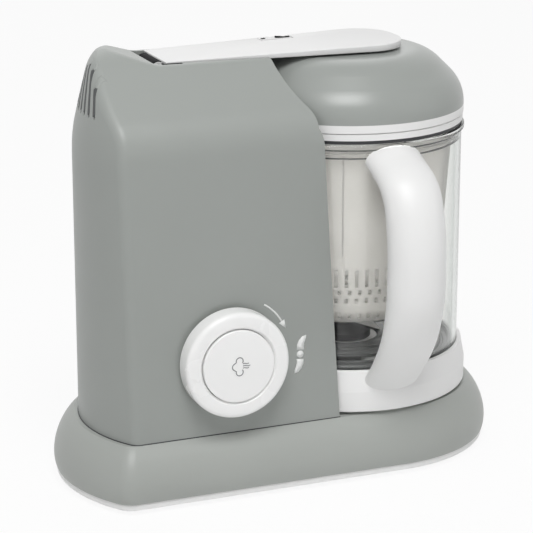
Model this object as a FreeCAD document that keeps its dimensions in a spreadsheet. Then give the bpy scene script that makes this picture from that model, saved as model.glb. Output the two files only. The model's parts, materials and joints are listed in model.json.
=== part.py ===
"""Counter-top baby food maker: a steam tower beside a blender jug, on one flared plinth.

Millimetres. X runs along the plinth from the tower to the jug, Y from front to back, Z up from the
table. The tower and the jug share one plane of symmetry, which lies at Y = plane_y because the jug's
handle reaches further forward than the cord gland reaches back. A size named drop, rise, gap or inset
is counted from the level or the wall that it belongs to, so that neighbours move together.
"""
import FreeCAD
import Part
import Sketcher
import math
import os

doc = FreeCAD.newDocument("BabyFoodMaker")

DIMENSIONS = {
    # Plinth
    "plinth_length": 278.0,
    "plinth_depth": 164.0,
    "plinth_corner": 12.0,
    "foot_height": 3.0,
    "foot_radius": 9.0,
    "foot_gap": 18.0,
    "tray_height": 3.9,
    "tray_inset": 1.6,
    "rib_height": 2.5,
    "skirt_height": 30.6,
    "skirt_wall": 2.8,
    "flare": 12.0,
    "screw_radius": 1.6,
    "screw_head": 3.2,
    "screw_length": 14.0,
    "screw_inset_x": 65.0,
    "screw_inset_y": 46.0,
    "boss_radius": 5.0,
    # Cord gland
    "gland_rise": 10.0,
    "gland_radius": 5.0,
    "gland_bore": 2.6,
    "gland_flange": 7.0,
    "gland_flange_depth": 2.0,
    "gland_tip": 4.0,
    "gland_stand": 4.0,
    "gland_tail": 6.0,
    # Tower
    "tower_reach": 124.0,
    "tower_half": 69.5,
    "tower_lean": 5.3,
    "tower_bow": 76.3,
    "bow_shift": 22.5,
    "tower_wall": 2.8,
    "tower_corner": 7.0,
    "shoulder_drop": 30.6,
    "shoulder_round": 28.0,
    "ridge_rise": 21.8,
    "ridge_round": 39.5,
    "end_lean_drop": 38.0,
    "end_lean_round": 90.0,
    "peak_draw": 12.5,
    "peak_rise": 13.0,
    "peak_round": 20.0,
    "saddle_gap": 4.0,
    "saddle_rise": 1.0,
    "saddle_round": 20.0,
    "recess_gap": 3.2,
    "recess_draw": 12.0,
    "vent_pitch": 6.6,
    "vent_width": 1.8,
    "vent_drop": 23.5,
    "vent_rise": 38.0,
    "vent_depth": 13.0,
    "vent_aside": 19.5,
    # Knob and steam button
    "knob_reach": 50.0,
    "knob_rise": 44.5,
    "knob_radius": 31.3,
    "knob_taper": 1.3,
    "knob_depth": 12.5,
    "knob_edge": 3.0,
    "knob_floor": 3.0,
    "stem_radius": 9.0,
    "stem_bore": 6.0,
    "cam_radius": 13.0,
    "cam_reach": 17.0,
    "cam_depth": 4.0,
    "finger_width": 6.0,
    "button_radius": 21.3,
    "button_depth": 5.0,
    "button_travel": 2.0,
    "button_proud": 0.4,
    "button_edge": 1.0,
    "button_tail": 1.0,
    "switch_width": 36.0,
    "switch_depth": 14.0,
    "board_width": 54.0,
    "board_height": 56.0,
    "board_thick": 1.6,
    "post_width": 4.0,
    "post_height": 10.0,
    # Steam arm
    "arm_heel": 2.0,
    "arm_overhang": 30.8,
    "arm_half_left": 20.0,
    "arm_half_right": 30.0,
    "arm_end_round": 24.0,
    "arm_rise_left": 1.6,
    "arm_rise_right": 4.1,
    "channel_drop": 1.6,
    "channel_gap": 0.6,
    "nozzle_height": 1.1,
    "nozzle_bore": 4.0,
    "nozzle_radius": 14.0,
    "seal_land": 6.0,
    "seal_flange": 4.0,
    "hinge_reach": 72.0,
    "hinge_drop": 3.4,
    "hinge_slot": 7.8,
    "knuckle_radius": 4.2,
    "knuckle_half": 13.0,
    "pin_radius": 2.0,
    "lug_width": 4.0,
    "lug_drop": 11.8,
    "wing_width": 8.0,
    "wing_length": 8.4,
    "tie_height": 3.0,
    "latch_left": 3.0,
    "latch_length": 20.0,
    "latch_depth": 7.0,
    "latch_thick": 1.6,
    "latch_floor": 1.0,
    "latch_travel": 2.0,
    "grip_inset": 3.0,
    "grip_width": 1.2,
    "grip_rise": 0.6,
    # Boiler
    "tank_hinge_gap": 7.5,
    "tank_recess_gap": 0.9,
    "tank_width": 72.0,
    "tank_corner": 14.0,
    "tank_height": 54.0,
    "tank_wall": 1.2,
    "mouth_inset": 1.5,
    "neck_height": 15.0,
    "neck_flange": 3.0,
    "heater_height": 9.0,
    "element_inset": 5.0,
    "element_width": 5.6,
    "element_depth": 2.8,
    "thermostat_radius": 6.0,
    "thermostat_height": 8.0,
    # Drive
    "motor_reach": 72.0,
    "motor_radius": 29.0,
    "motor_height": 66.0,
    "can_edge": 5.0,
    "can_hub": 10.0,
    "can_hub_height": 6.0,
    "mount_radius": 34.0,
    "mount_bore": 10.0,
    "mount_height": 4.0,
    "motor_shaft": 3.0,
    "shaft_end": 2.0,
    "shaft_tail": 1.0,
    "motor_pulley": 9.0,
    "drive_pulley": 24.0,
    "pulley_rise": 7.1,
    "pulley_height": 10.0,
    "flange_depth": 1.5,
    "belt_thick": 1.8,
    "belt_width": 5.0,
    "belt_play": 1.0,
    "spindle_radius": 4.0,
    "bush_radius": 9.0,
    "bush_gap": 1.5,
    "coupling_radius": 11.0,
    "coupling_height": 5.0,
    "dog_height": 4.4,
    "dog_width": 5.0,
    "dog_inner": 5.0,
    # Jug
    "jug_reach": 51.2,
    "seat_height": 1.5,
    "seat_inset": 3.8,
    "bayonet_gap": 3.0,
    "bayonet_wall": 4.0,
    "bayonet_lug": 2.0,
    "bayonet_span": 14.0,
    "bayonet_thick": 2.5,
    "claw_reach": 2.4,
    "claw_thick": 1.4,
    "collar_thick": 4.8,
    "collar_draw": 2.2,
    "collar_land": 14.8,
    "collar_height": 24.7,
    "collar_ledge": 18.7,
    "bowl_radius": 69.0,
    "bowl_wall": 2.4,
    "bowl_floor": 3.0,
    "bowl_cove": 8.0,
    "bowl_height": 141.5,
    "rim_out": 1.6,
    "rim_height": 2.4,
    "ledge_drop": 8.0,
    "ledge_width": 1.4,
    "rib_width": 1.6,
    "rib_lift": 14.0,
    "rib_length": 100.0,
    "gasket_inset": 12.0,
    "gasket_width": 3.0,
    "gasket_height": 3.0,
    # Jug handle
    "handle_width": 36.0,
    "handle_out": 48.0,
    "handle_thick": 20.0,
    "handle_drop": 5.1,
    "handle_lift": 11.0,
    "handle_hump": 2.0,
    "handle_crest": 6.0,
    "handle_brow": 13.0,
    "handle_belly_drop": 54.758,
    "handle_brow_round": 30.0,
    "handle_belly_round": 70.0,
    "handle_heel": 14.0,
    "handle_heel_in": 20.0,
    "handle_heel_round": 40.0,
    "handle_root": 16.0,
    "handle_sink": 4.0,
    "grip_heel": 28.0,
    "grip_heel_in": 13.0,
    "grip_heel_round": 20.0,
    "grip_belly_out": 1.0,
    "grip_belly_round": 60.0,
    "grip_brow": 10.0,
    "grip_brow_drop": 20.0,
    "grip_brow_round": 16.0,
    "handle_neck": 22.0,
    # Basket
    "basket_gap": 7.0,
    "basket_draw": 7.0,
    "basket_lift": 27.0,
    "basket_wall": 1.6,
    "basket_flange": 2.0,
    "basket_cove": 9.0,
    "steam_hole": 2.6,
    "steam_circle": 16.0,
    # Blade
    "blade_base": 20.0,
    "base_flange": 2.4,
    "blade_bore": 14.0,
    "blade_shaft": 4.0,
    "tier_width": 5.4,
    "tier_height": 2.9,
    "hub_lift": 3.0,
    "hub_height": 21.0,
    "hub_radius": 16.0,
    "hub_skirt": 4.0,
    "hub_neck": 9.0,
    "hub_crown": 11.0,
    "hub_taper": 1.0,
    "hub_edge": 3.0,
    "hub_cap": 3.0,
    "knife_low": 6.6,
    "knife_high": 14.6,
    "knife_reach": 45.0,
    "knife_width": 13.0,
    "knife_thick": 1.4,
    "knife_heel": 24.8,
    "knife_bend": 27.0,
    "knife_tip": 3.2,
    "knife_edge_round": 20.0,
    "knife_back_round": 30.0,
    # Lid
    "lid_proud": 0.9,
    "lid_wall": 2.4,
    "lid_land": 8.0,
    "lid_seal": 2.2,
    "seal_inset": 1.2,
    "lid_ring": 9.0,
    "ring_step": 0.4,
    "groove_rise": 3.8,
    "groove_height": 0.6,
    "groove_depth": 1.4,
    "dome_band": 11.0,
    "dome_rise": 32.6,
    "dome_draw": 21.9,
    "dome_round": 25.0,
    "port_radius": 8.7,
    "port_bore": 3.0,
    "port_flange": 4.0,
    "port_flange_depth": 2.0,
    "port_drop": 7.0,
    # Fits
    "running": 0.05,
    "clearance": 0.3,
    "overrun": 20.0,
}

sheet = doc.addObject("Spreadsheet::Sheet", "Sizes")
for row, (alias, number) in enumerate(DIMENSIONS.items(), start=1):
    sheet.set("A%d" % row, alias)
    sheet.set("B%d" % row, str(number))
    sheet.setAlias("B%d" % row, alias)
doc.recompute()


class Size:
    """A number together with the sheet formula that gives it, so that what is drawn stays bound."""

    def __init__(self, value, formula):
        self.value = float(value)
        self.formula = formula

    def __add__(self, other):
        other = as_size(other)
        return Size(self.value + other.value, "(%s + %s)" % (self.formula, other.formula))

    def __sub__(self, other):
        other = as_size(other)
        return Size(self.value - other.value, "(%s - %s)" % (self.formula, other.formula))

    def __mul__(self, other):
        other = as_size(other)
        return Size(self.value * other.value, "(%s * %s)" % (self.formula, other.formula))

    def __truediv__(self, other):
        other = as_size(other)
        return Size(self.value / other.value, "(%s / %s)" % (self.formula, other.formula))

    def __neg__(self):
        return Size(-self.value, "(0 - %s)" % self.formula)

    def __radd__(self, other):
        return as_size(other) + self

    def __rsub__(self, other):
        return as_size(other) - self

    def __rmul__(self, other):
        return as_size(other) * self


def as_size(number):
    if isinstance(number, Size):
        return number
    return Size(number, "(%r)" % float(number))


def root(size):
    return Size(math.sqrt(size.value), "sqrt(%s)" % size.formula)


class Sizes:
    """The sheet's driving dimensions by name."""

    def __getattr__(self, alias):
        return Size(DIMENSIONS[alias], "Sizes.%s" % alias)


size = Sizes()
zero = as_size(0)
front = FreeCAD.Rotation(FreeCAD.Vector(1, 0, 0), 90)
back = front.inverted()
upright = FreeCAD.Rotation()

# Counts of what repeats, the vents' tilt in degrees, how inner corners shift, in walls or insets, and a
# handle's share
VENT_SIDE = 3
VENT_TILT = 22
SEAL_TIERS = 3
BAYONET_LUGS = 3
STEAM_CIRCLES = 2
STEAM_HOLES = 6
SHOULDER_SHIFT = 0.5
RIDGE_SHIFT = 1.3
PEAK_SHIFT = 1.2
PEAK_SINK = 1.5
SADDLE_SHIFT = 2.0
BEVEL_SHIFT = math.tan(math.pi / 8)
CORNER_SHIFT = 0.4
INNER_EDGE_SHARE = 0.3

# Radii and levels that several pieces share
border = size.foot_height + size.tray_height
deck_height = border + size.skirt_height
round_centre = size.plinth_length / 2 - size.plinth_depth / 2
bow_axis = size.tower_reach - size.tower_bow
handle_reach = size.bowl_radius + size.handle_out
plane_y = (handle_reach - size.plinth_depth / 2 - size.gland_stand) / 2
collar_radius = size.bowl_radius + size.collar_thick
collar_neck = collar_radius - size.collar_draw
collar_bore = collar_radius - size.collar_land
recess_radius = collar_radius + size.recess_gap
guide_radius = collar_bore - size.bayonet_gap
bowl_inside = size.bowl_radius - size.bowl_wall
lid_radius = size.bowl_radius + size.lid_proud
seat_top = deck_height + size.seat_height
collar_foot = seat_top + size.clearance
claw_top = collar_foot + size.claw_thick
bowl_foot = collar_foot + size.collar_ledge
bowl_deck = bowl_foot + size.bowl_floor
rim_top = bowl_foot + size.bowl_height
ledge = rim_top - size.ledge_drop
lid_foot = rim_top + size.clearance
ring_foot = lid_foot + size.lid_seal
dome_foot = ring_foot + size.lid_ring
dome_top = dome_foot + size.dome_rise
arm_floor = dome_top + size.clearance + size.nozzle_height
arm_left = size.hinge_reach - size.arm_heel
arm_right = size.jug_reach + size.arm_overhang
channel_floor = arm_floor - size.channel_drop
roof_under = channel_floor - size.tower_wall
hinge_height = arm_floor - size.hinge_drop
shoulder_height = arm_floor - size.shoulder_drop
peak_height = arm_floor + size.peak_rise
saddle_reach = size.hinge_reach + size.saddle_gap
tank_left = size.hinge_reach - size.tank_hinge_gap
tank_right = recess_radius + size.tower_wall + size.tank_recess_gap - size.jug_reach
tank_length = tank_left - tank_right
tank_reach = (tank_left + tank_right) / 2
tank_mouth = tank_length / 2 - size.mouth_inset
knob_height = deck_height + size.knob_rise
knob_back = size.tower_half + size.clearance
pulley_floor = border + size.pulley_rise
pulley_top = pulley_floor + size.pulley_height
coupling_foot = deck_height + size.clearance
coupling_top = coupling_foot + size.coupling_height
socket_foot = coupling_top + size.dog_height + size.clearance
hub_foot = bowl_deck + size.hub_lift
gland_height = border + size.gland_rise


def bind(target, path, value):
    target.setExpression(path, as_size(value).formula)


def put(item, x=0, y=0, z=0, turn=upright):
    """Give an object its place from sizes, with a fixed turn."""
    item.Placement = FreeCAD.Placement(FreeCAD.Vector(0, 0, 0), turn)
    for axis, value in zip("xyz", (x, y, z)):
        bind(item, "Placement.Base.%s" % axis, value)
    return item


def cylinder(name, radius, height, x=0, y=0, z=0, turn=upright):
    item = doc.addObject("Part::Cylinder", name)
    bind(item, "Radius", radius)
    bind(item, "Height", height)
    return put(item, x, y, z, turn)


def box(name, length, width, height, x=0, y=0, z=0):
    """A block centred on x and y that stands on z."""
    item = doc.addObject("Part::Box", name)
    bind(item, "Length", length)
    bind(item, "Width", width)
    bind(item, "Height", height)
    return put(item, as_size(x) - as_size(length) / 2, as_size(y) - as_size(width) / 2, z)


def fuse(name, *shapes):
    item = doc.addObject("Part::MultiFuse", name)
    item.Shapes = list(shapes)
    item.Refine = True
    return item


def common(name, *shapes):
    item = doc.addObject("Part::MultiCommon", name)
    item.Shapes = list(shapes)
    return item


def cut(name, base, *tools):
    item = doc.addObject("Part::Cut", name)
    item.Base = base
    item.Tool = tools[0] if len(tools) == 1 else fuse(name + "_tools", *tools)
    item.Refine = True
    return item


def fillet(name, base, radius_of):
    """Round each edge of a solid for which radius_of gives a radius."""
    doc.recompute()
    item = doc.addObject("Part::Fillet", name)
    item.Base = base
    edges = []
    for number, edge in enumerate(base.Shape.Edges, start=1):
        radius = radius_of(edge)
        if radius is not None:
            edges.append((number, radius.value, radius.value))
    item.Edges = edges
    return item


class Corner:
    """A corner of an outline, rounded if asked, with a line or an arc leading on to the next corner."""

    def __init__(self, x, y, rounding=None, arc=None):
        self.x = as_size(x)
        self.y = as_size(y)
        self.rounding = rounding
        self.arc = arc
        self.at = FreeCAD.Vector(self.x.value, self.y.value, 0)


def arc_between(start, end, radius):
    """The counter-clockwise arc of a radius, up to half a circle, from start to end."""
    chord = end - start
    rise = math.sqrt(max(radius ** 2 - (chord.Length / 2) ** 2, 0.0))
    side = FreeCAD.Vector(-chord.y, chord.x, 0)
    side.normalize()
    centre = (start + end) / 2 + side * rise
    circle = Part.Circle(centre, FreeCAD.Vector(0, 0, 1), radius)
    angles = [math.atan2(point.y - centre.y, point.x - centre.x) for point in (start, end)]
    return Part.ArcOfCircle(circle, angles[0], angles[1])


def fix_point(sketch, geometry, position, corner):
    """Hold a point of a sketch at a corner's sizes."""
    for kind, value in (("DistanceX", corner.x), ("DistanceY", corner.y)):
        held = Sketcher.Constraint(kind, -1, 1, geometry, position, value.value)
        bind(sketch, "Constraints[%d]" % sketch.addConstraint(held), value)


def fix_radius(sketch, geometry, radius):
    held = Sketcher.Constraint("Radius", geometry, radius.value)
    bind(sketch, "Constraints[%d]" % sketch.addConstraint(held), radius)


def draw(sketch, corners):
    """Draw one closed counter-clockwise outline through corners, bound to their sizes."""
    count = len(corners)
    leave = []
    reach = []
    arcs = []
    for index, corner in enumerate(corners):
        leave.append(corner.at)
        reach.append(corner.at)
        arcs.append(None)
        if corner.rounding is None:
            continue
        behind = (corners[index - 1].at - corner.at).normalize()
        onward = (corners[(index + 1) % count].at - corner.at).normalize()
        half = behind.getAngle(onward) / 2
        run = corner.rounding.value / math.tan(half)
        reach[index] = corner.at + behind * run
        leave[index] = corner.at + onward * run
        outward = behind.cross(onward).z < 0
        ends = (reach[index], leave[index]) if outward else (leave[index], reach[index])
        arc = sketch.addGeometry(arc_between(ends[0], ends[1], corner.rounding.value))
        arcs[index] = (arc, 1 if outward else 2, 2 if outward else 1)
    edges = []
    for index, corner in enumerate(corners):
        start = leave[index]
        end = reach[(index + 1) % count]
        if corner.arc is None:
            edges.append(sketch.addGeometry(Part.LineSegment(start, end)))
        else:
            edges.append(sketch.addGeometry(arc_between(start, end, corner.arc.value)))
    for index, corner in enumerate(corners):
        before = edges[index - 1]
        after = edges[index]
        if arcs[index] is None:
            sketch.addConstraint(Sketcher.Constraint("Coincident", before, 2, after, 1))
            fix_point(sketch, after, 1, corner)
        else:
            arc, first, last = arcs[index]
            sketch.addConstraint(Sketcher.Constraint("Tangent", before, 2, arc, first))
            sketch.addConstraint(Sketcher.Constraint("Tangent", arc, last, after, 1))
            fix_radius(sketch, arc, corner.rounding)
            tip = sketch.addGeometry(Part.Point(corner.at), True)
            fix_point(sketch, tip, 1, corner)
            sketch.addConstraint(Sketcher.Constraint("PointOnObject", tip, 1, before))
            sketch.addConstraint(Sketcher.Constraint("PointOnObject", tip, 1, after))
        if corner.arc is not None:
            fix_radius(sketch, after, corner.arc)


def new_sketch(body, role, corners, level=0):
    """A sketch on one of a body's own planes, lifted along the plane's normal."""
    sketch = body.newObject("Sketcher::SketchObject", body.Name + "_sketch")
    plane = [item for item in body.Origin.OriginFeatures if item.Role == role][0]
    sketch.AttachmentSupport = [(plane, "")]
    sketch.MapMode = "FlatFace"
    bind(sketch, "AttachmentOffset.Base.z", level)
    draw(sketch, corners)
    return sketch


def padded(name, role, corners, length, level=0, middle=False):
    """A body padded from one outline."""
    body = doc.addObject("PartDesign::Body", name)
    pad = body.newObject("PartDesign::Pad", name + "_pad")
    pad.Profile = new_sketch(body, role, corners, level)
    pad.Midplane = middle
    bind(pad, "Length", length)
    return body


def turned(name, corners):
    """A body turned about Z from an outline of radii and heights."""
    body = doc.addObject("PartDesign::Body", name)
    spin = body.newObject("PartDesign::Revolution", name + "_turn")
    spin.Profile = new_sketch(body, "XZ_Plane", corners)
    spin.ReferenceAxis = (spin.Profile[0], ["V_Axis"])
    spin.Angle = 360
    return body


def ring(name, inner, outer, foot, height):
    """A plain turned ring."""
    inner, outer, foot = as_size(inner), as_size(outer), as_size(foot)
    top = foot + height
    return turned(name, [Corner(inner, foot), Corner(outer, foot), Corner(outer, top), Corner(inner, top)])


pieces = []


def piece(item, label, x=0, y=0, z=0, turn=upright):
    """Name a finished sub-part and place it in the machine's frame."""
    put(item, x, plane_y + y, z, turn)
    item.Label = label
    pieces.append(item)
    return item


# How far up the plinth, and how far in along its flare, each plan of the loft lies
FLARE_STEPS = ((0.0, 0.07), (0.18, 0.0), (0.5, 0.13), (0.78, 0.47), (1.0, 1.0))


def back_normal():
    """Which way the plinth's back faces, as the line that touches both its round ends."""
    span = round_centre + bow_axis
    spread = size.plinth_length / 2 - bow_axis - size.plinth_depth / 2
    square = span * span + size.bow_shift * size.bow_shift
    slant = root(square - spread * spread)
    aside = (span * spread - size.bow_shift * slant) / square
    behind = (size.bow_shift * spread + span * slant) / square
    return aside, behind


def plinth_plan(inset):
    """The plinth seen from above, drawn in by an inset: a bowed left end with one tight front corner."""
    half = size.plinth_depth / 2 - inset
    bow = size.plinth_length / 2 - bow_axis - inset
    corner = size.plinth_corner - inset * CORNER_SHIFT
    ahead = half - corner - size.bow_shift
    reach = root((bow - corner) * (bow - corner) - ahead * ahead)
    share = bow / (bow - corner)
    aside, behind = back_normal()
    return [
        Corner(-bow_axis - reach, -half),
        Corner(round_centre, -half, arc=half),
        Corner(round_centre + half, 0, arc=half),
        Corner(round_centre + half * aside, half * behind),
        Corner(bow * aside - bow_axis, bow * behind - size.bow_shift, arc=bow),
        Corner(-bow_axis - reach * share, -size.bow_shift - ahead * share, arc=corner),
    ]


def flared(name, inset, foot, top):
    """A solid of the plinth, lofted through plans that draw in along a rounded flare."""
    body = doc.addObject("PartDesign::Body", name)
    sketches = []
    for rise, drawn_in in FLARE_STEPS:
        plan = plinth_plan(inset + size.flare * drawn_in)
        sketches.append(new_sketch(body, "XY_Plane", plan, foot + (top - foot) * rise))
    loft = body.newObject("PartDesign::AdditiveLoft", name + "_flare")
    loft.Profile = sketches[0]
    loft.Sections = sketches[1:]
    return body


def screw_places():
    for side_x in (-1, 1):
        for side_y in (-1, 1):
            x = (size.plinth_length / 2 - size.screw_inset_x) * side_x
            y = (size.plinth_depth / 2 - size.screw_inset_y) * side_y
            yield side_x, x, y


def make_base_tray():
    plate = padded("tray_plate", "XY_Plane", plinth_plan(size.tray_inset), size.tray_height, size.foot_height)
    rib_inset = size.skirt_wall + size.flare * FLARE_STEPS[0][1] + size.clearance
    rib = padded("tray_rib", "XY_Plane", plinth_plan(rib_inset), size.rib_height, border)
    holes = []
    for number, (side, x, y) in enumerate(screw_places()):
        shank = size.screw_radius + size.clearance
        holes.append(cylinder("tray_hole%d" % number, shank, deck_height, x, y, 0))
        sink = size.screw_head + size.clearance
        holes.append(cylinder("tray_sink%d" % number, sink, size.tray_height / 2, x, y, size.foot_height))
    piece(cut("tray_cut", fuse("tray_solid", plate, rib), *holes), "base_tray")


def make_rubber_feet():
    feet = []
    for number, (side, x, y) in enumerate(screw_places()):
        outward = x + size.foot_gap * side
        feet.append(cylinder("foot%d" % number, size.foot_radius, size.foot_height, outward, y, 0))
    group = doc.addObject("Part::Compound", "feet")
    group.Links = feet
    piece(group, "rubber_feet")


def make_base_screws():
    screws = []
    head_height = size.tray_height / 2 - size.clearance
    head_foot = size.foot_height + size.clearance
    for number, (side, x, y) in enumerate(screw_places()):
        head = cylinder("screw_head%d" % number, size.screw_head, head_height, x, y, head_foot)
        seat = head_foot + head_height
        shank = cylinder("screw_shank%d" % number, size.screw_radius, size.screw_length, x, y, seat)
        screws.append(fuse("screw%d" % number, head, shank))
    group = doc.addObject("Part::Compound", "screws")
    group.Links = screws
    piece(group, "base_screws")


def make_plinth_skirt():
    outer = flared("skirt_outer", zero, border, deck_height)
    inner = flared("skirt_inner", size.skirt_wall, border, deck_height - size.skirt_wall)
    shell = cut("skirt_shell", outer, inner)
    bosses = []
    holes = []
    boss_foot = border + size.rib_height + size.clearance
    boss_top = deck_height - size.skirt_wall / 2
    for number, (side, x, y) in enumerate(screw_places()):
        bosses.append(cylinder("boss%d" % number, size.boss_radius, boss_top - boss_foot, x, y, boss_foot))
        pilot = size.screw_radius + size.running
        holes.append(cylinder("pilot%d" % number, pilot, size.screw_length, x, y, border))
    holes.append(cylinder("bush_hole", size.bush_radius, deck_height, size.jug_reach, 0, border))
    holes.append(cylinder("shaft_hole", size.motor_pulley, deck_height, -size.motor_reach, 0, border))
    holes.append(cylinder("gland_hole", size.gland_radius, size.overrun * 2, round_centre,
                          size.plinth_depth / 2 - size.overrun, gland_height, back))
    piece(cut("skirt_cut", fuse("skirt_solid", shell, *bosses), *holes), "plinth_skirt")


def make_cord_gland():
    outer = size.gland_radius - size.running
    gland = turned("gland_turned", [
        Corner(size.gland_bore, -size.gland_tail),
        Corner(outer, -size.gland_tail),
        Corner(outer, 0),
        Corner(size.gland_flange, 0),
        Corner(size.gland_flange, size.gland_flange_depth),
        Corner(size.gland_tip, size.gland_stand),
        Corner(size.gland_bore, size.gland_stand),
    ])
    piece(gland, "cord_gland", round_centre, size.plinth_depth / 2, gland_height, back)


def arch_outline(wall):
    """The tower's cross-section: leaning sides, soft shoulders and a rounded ridge."""
    half = size.tower_half - wall
    shoulder = half - size.tower_lean
    shoulder_top = shoulder_height - wall * SHOULDER_SHIFT
    ridge_top = arm_floor + size.ridge_rise - wall * RIDGE_SHIFT
    turn = size.shoulder_round - wall
    return [
        Corner(-half, deck_height),
        Corner(half, deck_height),
        Corner(shoulder, shoulder_top, rounding=turn),
        Corner(0, ridge_top, rounding=size.ridge_round - wall),
        Corner(-shoulder, shoulder_top, rounding=turn),
    ]


def inner_face(level):
    """How far the tower's inner side face lies from the plane of symmetry, at a level."""
    rise = shoulder_height - size.tower_wall * SHOULDER_SHIFT - deck_height
    return size.tower_half - size.tower_wall - size.tower_lean * (level - deck_height) / rise


def end_outline(wall, inner):
    """The tower's left end from the side, as radii from its bow's axis out from an inner one."""
    foot = size.tower_bow - wall
    peak = size.tower_bow - size.peak_draw - wall * PEAK_SHIFT
    top = peak_height - wall * PEAK_SINK
    return [
        Corner(inner, deck_height),
        Corner(foot, deck_height),
        Corner(foot, arm_floor - size.end_lean_drop, rounding=size.end_lean_round - wall),
        Corner(peak, top, rounding=size.peak_round - wall),
        Corner(inner, top),
    ]


def roof_outline(wall, saddle):
    """The tower's roof line from the side: a peak at the left that dips in a saddle to the arm."""
    left = -size.tower_reach - size.overrun
    top = peak_height - wall * PEAK_SINK
    return [
        Corner(left, deck_height),
        Corner(size.jug_reach, deck_height),
        Corner(size.jug_reach, saddle),
        Corner(-saddle_reach - wall * SADDLE_SHIFT, saddle, rounding=size.saddle_round),
        Corner(size.peak_draw + wall * PEAK_SHIFT - size.tower_reach, top),
        Corner(left, top),
    ]


def loaf(name, wall, saddle):
    """The tower's form: an arch under the roof line, with its left end turned round to the back."""
    sweep = size.tower_reach + size.jug_reach + size.overrun
    arch = put(padded(name + "_arch", "YZ_Plane", arch_outline(wall), sweep), size.jug_reach - sweep)
    turn = put(turned(name + "_turn", end_outline(wall, zero)), -bow_axis, -size.bow_shift)
    left = box(name + "_left", size.tower_reach * 2, size.plinth_length, peak_height,
               -bow_axis - size.tower_reach, -size.bow_shift)
    bow = common(name + "_bow", turn, left)
    run = bow_axis + size.jug_reach
    wide = padded(name + "_wide", "YZ_Plane", end_outline(wall, -size.plinth_depth), run)
    end = fuse(name + "_end", bow, put(wide, -bow_axis, -size.bow_shift))
    roof = padded(name + "_roof", "XZ_Plane", roof_outline(wall, saddle), size.plinth_length, 0, True)
    return common(name, common(name + "_ended", arch, end), roof)


def jug_recess(name, wall):
    """The hollow in the tower's side that the jug and its lid stand in."""
    wide = recess_radius + wall
    neck = wide - size.recess_draw
    foot = deck_height - size.overrun
    top = peak_height + size.overrun
    body = turned(name, [
        Corner(0, foot),
        Corner(wide, foot),
        Corner(wide, dome_foot),
        Corner(neck, arm_floor),
        Corner(neck, top),
        Corner(0, top),
    ])
    return put(body, size.jug_reach)


def arm_plan(gap):
    """The steam arm seen from above: a tapering tongue with a round end over the jug."""
    left = -arm_left - gap
    right = arm_right + gap
    narrow = size.arm_half_left + gap
    wide = size.arm_half_right + gap
    return [
        Corner(left, -narrow),
        Corner(right, -wide, rounding=size.arm_end_round),
        Corner(right, wide, rounding=size.arm_end_round),
        Corner(left, narrow),
    ]


def make_tower_shell():
    form = loaf("tower_form", zero, arm_floor + size.saddle_rise)

    def left_corner(edge):
        middle = edge.valueAt((edge.FirstParameter + edge.LastParameter) / 2)
        aside = middle.x < -saddle_reach.value
        above = middle.z > deck_height.value + size.clearance.value
        return size.tower_corner if aside and above else None

    soft = fillet("tower_soft", form, left_corner)
    cavity = loaf("tower_cavity_form", size.tower_wall, roof_under)
    hollow = cut("tower_cavity", cavity, jug_recess("tower_cavity_side", size.tower_wall))
    tools = [hollow, jug_recess("tower_recess", zero)]
    tools.append(padded("arm_channel", "XY_Plane", arm_plan(size.channel_gap), size.overrun, channel_floor))
    tools.append(cylinder("tank_hole", tank_mouth, size.overrun, -tank_reach, 0,
                          roof_under - size.tower_wall))
    slot_length = (size.arm_half_left + size.channel_gap) * 2
    tools.append(cylinder("hinge_slot", size.hinge_slot, slot_length, -size.hinge_reach, slot_length / 2,
                          hinge_height, front))
    tools.append(cylinder("knob_hole", size.stem_radius + size.clearance, size.overrun * 2, -size.knob_reach,
                          size.overrun - size.tower_half, knob_height, front))
    lean = FreeCAD.Rotation(FreeCAD.Vector(1, 0, 0), -VENT_TILT)
    for number in range(-VENT_SIDE, VENT_SIDE + 1):
        slot = box("vent%d" % (number + VENT_SIDE), size.vent_depth * 2, size.vent_width, size.vent_rise)
        aside = size.vent_pitch * number - size.vent_aside
        tools.append(put(slot, -size.tower_reach - size.vent_depth, aside, arm_floor - size.vent_drop, lean))
    piece(cut("tower_cut", soft, *tools), "tower_shell")


def tank_plan(inset):
    """The boiler seen from above: a block with round corners."""
    half_x = tank_length / 2 - inset
    half_y = size.tank_width / 2 - inset
    corner = size.tank_corner - inset
    return [
        Corner(-half_x, -half_y, rounding=corner),
        Corner(half_x, -half_y, rounding=corner),
        Corner(half_x, half_y, rounding=corner),
        Corner(-half_x, half_y, rounding=corner),
    ]


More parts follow.
